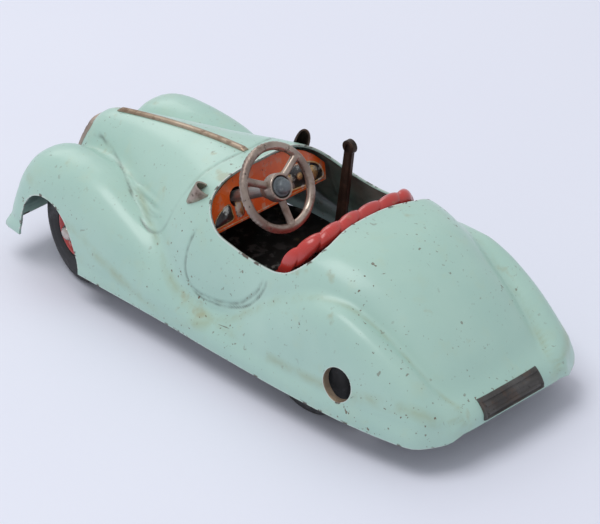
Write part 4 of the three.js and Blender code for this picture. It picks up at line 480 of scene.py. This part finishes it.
for ax in ('front', 'rear'):
    for side, s in (('left', 1), ('right', -1)):
        if ax == 'rear': org, d, off, body_t, body_c = (REAR_X, 0, R0), (0, s, 0), REAR_Y, 'rear_wheels', 'rear_wheels'
        else: org, d, off, body_t, body_c = (FRONT_X, s * KY, R0), s * SP, REACH, 'front_wheel_' + side, 'knuckle_' + side
        piece(sharp(lathe('tyre_' + ax + '_' + side + '_v', prof_at(TY, off), org, d, 96), 60), body_t, 'tyre_rubber', 'rubber', 'tyre_%s_%s' % (ax, side))
        piece(sharp(lathe('disc_' + ax + '_' + side + '_v', prof_at(disc_prof(1.16 if ax == 'rear' else 1.24), off), org, d, 72), 40), body_t, 'red_paint', 'red', 'wheel_disc_%s_%s' % (ax, side))
        piece(sharp(lathe('cap_' + ax + '_' + side + '_v', prof_at(CAP, off + 3.05), org, d, 48, closed=False), 50), body_c, 'nickel', 'nickel_clean', 'hub_cap_%s_%s' % (ax, side))

# ---------------------------------------------------------------- steering wheel, horn button
A = np.array([math.cos(math.radians(30)), 0, -0.5]); UPW = np.array([0.5, 0, math.cos(math.radians(30))]); LX = np.array([0, -1.0, 0]); WC = np.array([-4.2, 8.0, 40.8])
def wl(x, y, z): return WC + LX * x + A * y + UPW * z
nz = np.random.RandomState(3)
seg, tb = 260, 22; loops = []
ph = nz.rand(6) * 6.28
for i in range(seg):
    t = 2 * math.pi * i / seg; L = []
    for j in range(tb):
        b = 2 * math.pi * j / tb
        k = 1.0 + 0.055 * math.sin(t * 62) * max(0.0, math.cos(b - 0.35)) ** 2 + 0.02 * math.sin(5 * t + ph[0]) + 0.02 * math.sin(13 * t + 3 * b + ph[1])
        rr = 9.36 + 1.0 * k * math.cos(b); L.append(wl(rr * math.cos(t), 1.0 * k * math.sin(b), rr * math.sin(t)))
    loops.append(L)
V, F = loft(loops, closed=True); rimw = mesh_obj('rimw', V, F)
sp_ = []
for a in (-90, 30, 150):
    t = math.radians(a); dr = np.array([math.cos(t), math.sin(t)]); path, rad = [], []
    for q in np.linspace(2.64, 9.3, 16):
        path.append(wl(dr[0] * q, 0.3 - 0.25 * (q / 9.3), dr[1] * q)); rad.append(0.98 - 0.10 * math.sin(math.pi * (q - 1.9) / 7.4) + (0.22 * max(0, (q - 7.9)) / 1.4))
    sp_.append(tube('sp', path, rad, 18, flat=0.92, up=tuple(A)))
hub = lathe('hub', [(0.95, 3.9), (0.95, 0.95), (2.42, 0.95), (2.46, -1.15), (2.55, -1.5), (2.75, -1.66), (3.0, -1.62), (3.14, -1.4), (3.22, -0.8), (3.26, 0.2), (3.2, 1.0), (2.95, 1.6), (2.55, 2.1), (2.3, 2.8), (2.15, 3.6), (1.95, 3.9)], WC, A, 72)
sw = boolean(rimw, sp_, 'UNION'); sw = boolean(sw, [hub], 'UNION'); sw.name = 'steering_wheel_v'
sw.data.polygons.foreach_set("use_smooth", [True] * len(sw.data.polygons)); sharp(sw, 55)
piece(sw, 'steering', 'nickel', 'nickel', 'steering_wheel')
# the push has eight worn flats and a domed face
bp = [(0.0, -3.4), (0.9, -3.38), (1.35, -3.28), (1.62, -3.05), (1.72, -2.7), (1.74, -1.75), (2.2, -1.66), (2.25, -1.5), (2.25, -0.65), (0.0, -0.65)]
ob = lathe('horn_button_v', bp, WC, A, 64, closed=False)
for v in ob.data.vertices:
    p = np.array(v.co) * 1000 - [SX, 0, 0] - WC; h = p @ A; q = p - A * h; r = np.linalg.norm(q)
    if h < -1.7 and r > 0.6:
        t = math.atan2(q @ UPW, q @ LX); k = math.cos(math.pi / 8) / math.cos(((t + math.pi / 8) % (math.pi / 4)) - math.pi / 8); k = 0.45 + 0.55 * k
        v.co = Vector(((WC + A * h + q * k) + [SX, 0, 0]) * 1e-3)
piece(sharp(ob, 35), 'horn_push', 'grey_button', 'button', 'horn_button')

# ---------------------------------------------------------------- seat: rolled, slanted lobes on the back, pleated cushion
path = [[-16.8, 19.0, 28.9], [-18.2, 18.5, 31.6], [-20.3, 17.0, 34.3], [-21.8, 13.8, 36.1], [-22.2, 9.5, 36.8], [-21.9, 4.5, 36.9], [-21.7, 0, 36.9]]
full = path + [[p[0], -p[1], p[2]] for p in path[:-1]][::-1]
SF = [pchip([(i, p[k]) for i, p in enumerate(full)]) for k in range(3)]
ns = 261; tt = np.linspace(0, len(full) - 1, ns); C3 = np.stack([f(tt) for f in SF], -1)
arc = np.concatenate([[0], np.cumsum(np.linalg.norm(np.diff(C3, axis=0), axis=1))]); U = arc / arc[-1]
loops = []
for i in range(ns):
    c = C3[i]; u = U[i]; e = min(u, 1 - u) * 26; R = 2.0 * min(1, 0.72 + 0.085 * e); L = []
    for k in range(30):
        a = (-0.35 + 1.72 * k / 29) * math.pi
        w = abs(math.sin(math.pi * (u * 8.0 + 0.55 * (a / math.pi - 0.5))))
        rr = R * (0.76 + 0.31 * w ** 0.55)
        L.append([c[0] + rr * math.cos(a), c[1], c[2] + rr * math.sin(a)])
    y = c[1] * 0.985; zq = min(c[2] - 2.4, 34); pl = 0.30 * abs(math.sin(math.pi * (y / 38 + 0.5) * 9)) ** 0.6
    def ln(p, q, n, bulge=0.0, nx=0, nz_=0):
        for t in np.linspace(0, 1, n + 1)[:-1]:
            b = bulge * math.sin(math.pi * t); L.append([p[0] + (q[0] - p[0]) * t + nx * b, y, p[2] + (q[2] - p[2]) * t + nz_ * b])
    P1, P2, P3, P4, P5, P6, P7 = [c[0] - 0.1, y, zq], [-15.9, y, 19.7], [-3.2, y, 17.2], [-2.6, y, 14.2], [-1.9, y, 14.2], [-2.45, y, 18.0], [-14.5, y, 20.4]
    ln(P1, P2, 8); ln(P2, P3, 5); L.append(P3); L.append(P4); L.append(P5); ln(P5, P6, 3, 0.25, 1, 0)
    ln(P6, P7, 14, 0.35 + pl * 2.0, 0, 1); s0 = L[0]; ln(P7, [s0[0], y, s0[2]], 10, 0.35 + pl * 2.0, 1, 0)
    loops.append(L)
V, F = loft(loops); seat = mesh_obj('seat_v', V, F); piece(sharp(seat, 60), S_BODY, 'red_paint', 'red', 'seat')

# ---------------------------------------------------------------- dashboard artwork: thin printed shapes on the panel
def dp(y, z, off=0.05): return [7.2 + (z - 27) * 0.29 - off, y, z]
def sheet(name, poly, off, th=0.05):
    L = [[dp(y, z, off) for y, z in poly], [dp(y, z, off + th) for y, z in poly]]; V, F = loft(L); return mesh_obj(name, V, F, smooth=False)
def ring2(name, poly, w, off, th=0.04):
    P = np.array(poly, float); m = len(P); T = np.roll(P, -1, 0) - np.roll(P, 1, 0); T /= np.linalg.norm(T, axis=1, keepdims=True); Nn = np.stack([T[:, 1], -T[:, 0]], -1)
    A1, B1 = P + Nn * w / 2, P - Nn * w / 2; L = []
    for i in range(m): L.append([dp(*A1[i], off), dp(*B1[i], off), dp(*B1[i], off + th), dp(*A1[i], off + th)])
    V, F = loft(L, closed=True); return mesh_obj(name, V, F, smooth=False)
def circ(y, z, r, n=40, sq=1.0): return [(y + r * math.cos(t), z + sq * r * math.sin(t)) for t in np.linspace(0, 2 * math.pi, n, endpoint=False)]
panelR = [tuple(p) for p in smooth_prof([(-4.0, 33.2), (-7.5, 33.6), (-11.5, 33.4), (-14.6, 32.8), (-16.9, 31.6), (-18.0, 29.8), (-17.8, 28.3), (-15.6, 27.9), (-11.0, 28.2), (-7.0, 28.6), (-4.2, 29.2), (-3.4, 31.0)], 5)]
panelL = [tuple(p) for p in smooth_prof([(16.3, 28.4), (15.6, 30.2), (13.6, 31.6), (11.4, 32.3), (10.4, 31.9), (10.2, 30.2), (10.3, 28.6), (13.0, 28.3)], 5)]
glove = [tuple(p) for p in smooth_prof([(8.9, 32.2), (7.4, 32.4), (6.9, 31.8), (7.0, 29.4), (7.4, 28.6), (8.8, 28.6), (9.2, 29.2), (9.2, 31.6)], 4)]
blk, crm = [], []
blk.append(sheet('p', panelR, 0.04)); crm.append(ring2('r', panelR, 0.34, 0.04, 0.07))
blk.append(sheet('p', panelL, 0.04)); crm.append(ring2('r', [tuple(0.94 * (np.array(p) - [12.9, 30.1]) + [12.9, 30.1]) for p in panelL], 0.16, 0.08, 0.05))
crm.append(sheet('g', glove, 0.04)); blk.append(ring2('r', glove, 0.16, 0.04, 0.09))
for y, z, r in ((-14.7, 30.1, 1.75), (-7.6, 31.1, 1.25), (-11.0, 30.7, 0.85)):
    crm.append(sheet('d', circ(y, z, r), 0.10)); blk.append(ring2('r', circ(y, z, r * 0.88), 0.07, 0.14, 0.02))
    for k in range(12 if r > 1 else 8):
        t = 2 * math.pi * k / (12 if r > 1 else 8); c, s_ = math.cos(t), math.sin(t)
        q = [(y + c * r * 0.68 - s_ * 0.04, z + s_ * r * 0.68 + c * 0.04), (y + c * r * 0.82 - s_ * 0.04, z + s_ * r * 0.82 + c * 0.04), (y + c * r * 0.82 + s_ * 0.04, z + s_ * r * 0.82 - c * 0.04), (y + c * r * 0.68 + s_ * 0.04, z + s_ * r * 0.68 - c * 0.04)]
        blk.append(sheet('k', q, 0.145, 0.02))
    for t, l in ((2.5, 0.62), (0.4, 0.42)):
        c, s_ = math.cos(t), math.sin(t); w = 0.07
        blk.append(sheet('h', [(y - s_ * w, z + c * w), (y + c * r * l, z + s_ * r * l), (y + s_ * w, z - c * w), (y - c * r * 0.12, z - s_ * r * 0.12)], 0.145, 0.03))
crm.append(sheet('l', [(18.2, 27.75), (-18.2, 27.75), (-18.2, 27.6), (18.2, 27.6)], 0.04))
piece(join('dash_print_dark', blk), S_BODY, 'orange_litho', 'litho_black'); piece(join('dash_print_cream', crm), S_BODY, 'orange_litho', 'litho_cream')

# ---------------------------------------------------------------- trim on the shell
def strip():
    xs = list(np.linspace(14.2, 57.0, 150)); L = []
    for i, x in enumerate(xs):
        e = min(1.0, (x - 14.2) / 1.6 + 0.35, (57.0 - x) / 1.2 + 0.3); w, h = 0.86 * (0.85 + 0.15 * e), 0.62 * e
        c, nn = cast((x, 0, 60), (0, 0, -1)); sec = []
        for a in np.linspace(0, math.pi, 11): sec.append([x, w * math.cos(a), c[2] + 0.12 + h * math.sin(a) ** 0.8])
        sec += [[x, -w, c[2] + 0.02], [x, w, c[2] + 0.02]]
        L.append(sec)
    V, F = loft(L); return mesh_obj('bonnet_strip_v', V, F)
piece(sharp(strip(), 50), S_BODY, 'nickel', 'strip', 'bonnet_strip')
def grille():
    half = lambda z: 6.9 * max(1 - (abs(z - 19.5) / 11.6) ** 3.2, 0.02) ** 0.5
    nu, nv = 44, 120; top, bot = [], []
    for i in range(nu + 1):
        z = 9.2 + 20.2 * i / nu; w = half(z); r1, r2 = [], []
        for j in range(nv + 1):
            y = (2 * j / nv - 1) * w; p, n_ = cast((90, y, z), (-1, 0, 0)); e = min(1, 8 * j / nv, 8 * (nv - j) / nv, 6 * i / nu + 0.1, 6 * (nu - i) / nu + 0.1)
            bar = abs(math.sin(math.pi * y / 1.05)) ** 0.7; border = 1 if (w - abs(y) < 0.55 or i < 2 or i > nu - 2) else 0
            h = 0.35 + (0.62 if border else 0.15 + 0.5 * bar * (1 if not border else 0)); r1.append([min(p[0] + h, 70.5), y, z]); r2.append([p[0] + 0.05, y, z])
        top.append(r1); bot.append(r2)
    L = [a + b[::-1] for a, b in zip(top, bot)]; V, F = loft(L); return mesh_obj('grille_v', V, F)
piece(sharp(grille(), 40), S_BODY, 'nickel', 'nickel', 'radiator_grille')
for s, side in ((1, 'left'), (-1, 'right')):
    c, n_ = cast((90, s * 17.6, 19.2), (-1, 0, 0)); L = []
    base = {}
    prof = [(3.3, 0.05), (3.32, 0.42), (3.2, 0.62), (2.95, 0.66), (2.75, 0.56), (2.62, 0.66), (2.4, 1.02), (2.0, 1.42), (1.5, 1.75), (1.0, 1.96), (0.5, 2.08), (0.04, 2.12)]
    rings = []
    for r, h in prof:
        row = []
        for k in range(48):
            t = 2 * math.pi * k / 48; y, z = s * 17.6 + r * math.cos(t), 19.2 + r * math.sin(t); p, _n = cast((90, y, z), (-1, 0, 0)); row.append([min(p[0] + h * 0.74, 70.5), y, z])
        rings.append(row)
    back = [[q[0] - 0.02 if i == 0 else q[0], q[1], q[2]] for i, q in enumerate(rings[0])]
    V, F = loft(rings); piece(sharp(mesh_obj('lamp_' + side + '_v', V, F), 50), S_BODY, 'nickel', 'nickel_clean', 'headlamp_' + side)
def plate():
    nu, nv = 40, 150; top, bot = [], []; rr = np.random.RandomState(5)
    for i in range(nu + 1):
        z = 9.75 + 4.3 * i / nu; r1, r2 = [], []
        for j in range(nv + 1):
            v = 2 * j / nv - 1; y = v * 9.35; chip = max(0.0, (y - 8.7)) * (0.9 + 0.5 * math.sin(i * 0.9)); zz = z
            p, _n = cast((-90, y, z), (1, 0, 0)); ez = min(z - 9.75, 14.05 - z); ey = 9.35 - abs(y)
            e = min(ez, ey); h = 0.34 + 0.42 * min(1, max(0, 1 - abs(e - 0.32) / 0.28) * 1.4)
            if e < 0.12: h = 0.34 + 0.2 * e / 0.12
            if ey > 1.2 and (abs(z - 12.75) < 0.24 or abs(z - 11.05) < 0.24): h += 0.26
            h += 0.02 * rr.rand() - 0.05 * chip; r1.append([max(p[0] - h, -69.93), y, zz]); r2.append([p[0] + 0.02, y, zz])
        top.append(r1); bot.append(r2)
    L = [a + b[::-1] for a, b in zip(top, bot)]; V, F = loft(L); return mesh_obj('number_plate_v', V, F)
piece(sharp(plate(), 40), S_BODY, 'dark_plate', 'plate', 'number_plate_rear')

# the key hole's edge is turned inwards, and its paint is worn off
L = []
for t in np.linspace(0, 2 * math.pi, 72, endpoint=False):
    c_, s_ = math.cos(t), math.sin(t); q, _n = cast((-42.6 + 4.45 * c_, 90, 15.4 + 4.45 * s_), (0, -1, 0)); y0 = q[1] + 0.02
    L.append([[-42.6 + r * c_, y, 15.4 + r * s_] for r, y in ((4.0, y0 - 0.1), (3.93, y0 - 0.35), (3.9, y0 - 1.7), (4.25, y0 - 1.7), (4.3, y0 - 0.75), (4.18, y0 - 0.62), (4.06, y0 - 0.15))])
V, F = loft(L, closed=True); piece(sharp(mesh_obj('key_hole_lip', V, F), 50), S_BODY, 'mint_paint', 'strip')

# windscreen clips: a folded teardrop, nose forward and down, open mouth facing the seats
for s, side, mt, sl in ((1, 'left', 'nickel', 'nickel'), (-1, 'right', 'brown', 'browned_steel')):
    p0, n0 = cast((15.2, s * 17.4, 60), (0, 0, -1)); p1, n1 = cast((11.6, s * 15.0, 60), (0, 0, -1)); L = []
    dr = p1 - p0; ln_ = np.linalg.norm(dr); dr /= ln_; nn = (n0 + n1) / 2; nn /= np.linalg.norm(nn); up = nn - dr * (nn @ dr); up /= np.linalg.norm(up); sd = np.cross(dr, up)
    for i in range(22):
        t = i / 21; c = p0 + dr * ln_ * t * 1.08; W = 0.45 + 1.35 * math.sin(min(1, t * 1.25) * math.pi / 2) ** 0.9; H = 0.45 + 3.1 * t ** 0.9; sec = []
        for a in np.linspace(0, math.pi, 15): sec.append(c + sd * W * math.cos(a) + up * (H * math.sin(a) ** 0.85 + 0.05) + dr * (-0.5 * math.sin(a) * t))
        th = min(0.42, W * 0.5)
        for a in np.linspace(math.pi, 0, 15): sec.append(c + sd * (W - th) * math.cos(a) + up * ((H - th) * math.sin(a) ** 0.85 + 0.05) + dr * (-0.5 * math.sin(a) * t))
        L.append(sec)
    V, F = loft(L); piece(sharp(mesh_obj('clip_' + side + '_v', V, F), 50), S_BODY, sl, mt, 'windscreen_clip_' + side)

# ---------------------------------------------------------------- stop lever: flat strip with a rounded, dished head
def capsule_poly(x0, z0, r0, x1, z1, r1, n=14):
    a = math.atan2(z1 - z0, x1 - x0); out = []
    for t in np.linspace(a + math.pi / 2, a + 3 * math.pi / 2, n): out.append((x0 + r0 * math.cos(t), z0 + r0 * math.sin(t)))
    for t in np.linspace(a - math.pi / 2, a + math.pi / 2, n): out.append((x1 + r1 * math.cos(t), z1 + r1 * math.sin(t)))
    return out
def beveled(o, w=0.12, seg=3):
    return modded(o, ('BEVEL', dict(width=w * 1e-3, segments=seg, limit_method='ANGLE', angle_limit=math.radians(40))))
up_ = prism('l1', capsule_poly(2.6, 15.9, 1.5, -0.6, 38.6, 1.25), 'xz', -18.8, -18.0); dn_ = prism('l2', capsule_poly(2.6, 15.9, 1.5, 3.2, 10.4, 1.1), 'xz', -18.8, -18.0)
lv = boolean(up_, [dn_], 'UNION'); lv = boolean(lv, [prism('l3', [(-0.65 + 1.7 * math.cos(t), 39.0 + 1.7 * math.sin(t)) for t in np.linspace(0, 2 * math.pi, 48, endpoint=False)], 'xz', -19.1, -17.7)], 'UNION')
lv = boolean(lv, [prism('l4', [(2.6 + 0.75 * math.cos(t), 15.9 + 0.75 * math.sin(t)) for t in np.linspace(0, 2 * math.pi, 32, endpoint=False)], 'xz', -20, -17), prism('l5', capsule_poly(-0.7, 39.1, 0.8, -0.45, 37.9, 0.75), 'xz', -18.05, -17.2)])
beveled(lv, 0.1); lv.name = 'stop_lever_v'; lv.data.polygons.foreach_set("use_smooth", [True] * len(lv.data.polygons))
piece(sharp(lv, 35), 'stop_lever', 'browned_steel', 'brown', 'stop_lever')

# ---------------------------------------------------------------- the CAD nodes that stay, with their own finishes
KEEP = {'dashboard': 'orange', 'cockpit_floor': 'black', 'great_wheel': 'brass', 'intermediate_gear': 'brass', 'horn_reed': 'brass', 'mainspring': 'spring', 'click': 'spring', 'base_screw_rear': 'nickel_clean', 'base_screw_front': 'nickel_clean', 'kingpin_left': 'nickel_clean', 'kingpin_right': 'nickel_clean'}
replaced = {'body_shell', 'seat', 'steering_wheel', 'horn_button', 'bonnet_strip', 'radiator_grille', 'headlamp_left', 'headlamp_right', 'number_plate_rear', 'windscreen_clip_left', 'windscreen_clip_right', 'stop_lever'}
for name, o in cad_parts.items():
    if name in replaced or name.startswith(('tyre_', 'wheel_disc_', 'hub_cap_')): continue
    o.data.materials.clear(); o.data.materials.append(MAT[KEEP.get(name, 'steel')])

# ---------------------------------------------------------------- floor, light, camera
fm = Mt('floor_paper'); big = fm.noise(6, 3); c = fm.mix(fm.step(big, 0.3, 0.7), (0.80, 0.815, 0.905), (0.785, 0.80, 0.895))
fmat = fm.end(c, 0.85, 0.0, fm.bump(fm.noise(500, 4, 0.6), 0.00005, 0.3), spec=0.2)
fl = bpy.data.meshes.new('floor'); fl.from_pydata([(-3, -3, 0), (3, -3, 0), (3, 3, 0), (-3, 3, 0)], [], [(0, 1, 2, 3)]); fo = bpy.data.objects.new('floor', fl); bpy.context.scene.collection.objects.link(fo); fl.materials.append(fmat)
sc = bpy.context.scene
w = bpy.data.worlds.new('soft_room'); sc.world = w; w.use_nodes = True; bg = w.node_tree.nodes['Background']; bg.inputs[0].default_value = (0.93, 0.95, 1.0, 1); bg.inputs[1].default_value = 0.63
def area(name, loc, target, size, power, col=(1, 1, 1)):
    l = bpy.data.lights.new(name, 'AREA'); l.shape = 'RECTANGLE'; l.size, l.size_y = size; l.energy = power; l.color = col
    o = bpy.data.objects.new(name, l); sc.collection.objects.link(o); o.location = loc; o.rotation_euler = (Vector(target) - Vector(loc)).to_track_quat('-Z', 'Y').to_euler(); return o
area('soft_top', (0.10, 0.25, 0.85), (0, 0, 0.02), (0.55, 0.45), 2.9)
area('soft_back', (0.75, -0.30, 0.55), (0, 0, 0.02), (0.5, 0.5), 1.2, (1.0, 0.99, 0.97))
r_, u_, b_ = np.array([-0.70032437, -0.71376294, -0.00939392]), np.array([0.36880648, -0.37306745, 0.85135331]), np.array([-0.611169, 0.59275893, 0.52450862])
CP = np.array([-554.0766, 537.3863, 490.5116]) + [SX, 0, 0]
cam = bpy.data.cameras.new('camera'); cam.sensor_fit = 'HORIZONTAL'; cam.sensor_width = 36; cam.lens = 3984.0775 * 36 / 600; cam.clip_start = 0.01; cam.clip_end = 20
cam.shift_x = (300 - 291.0066) / 600; cam.shift_y = (265.8649 - 262) / 600
co_ = bpy.data.objects.new('camera', cam); sc.collection.objects.link(co_)
co_.matrix_world = Matrix(((r_[0], u_[0], b_[0], CP[0] * 1e-3), (r_[1], u_[1], b_[1], CP[1] * 1e-3), (r_[2], u_[2], b_[2], CP[2] * 1e-3), (0, 0, 0, 1)))
sc.camera = co_
sc.view_settings.view_transform = 'Standard'
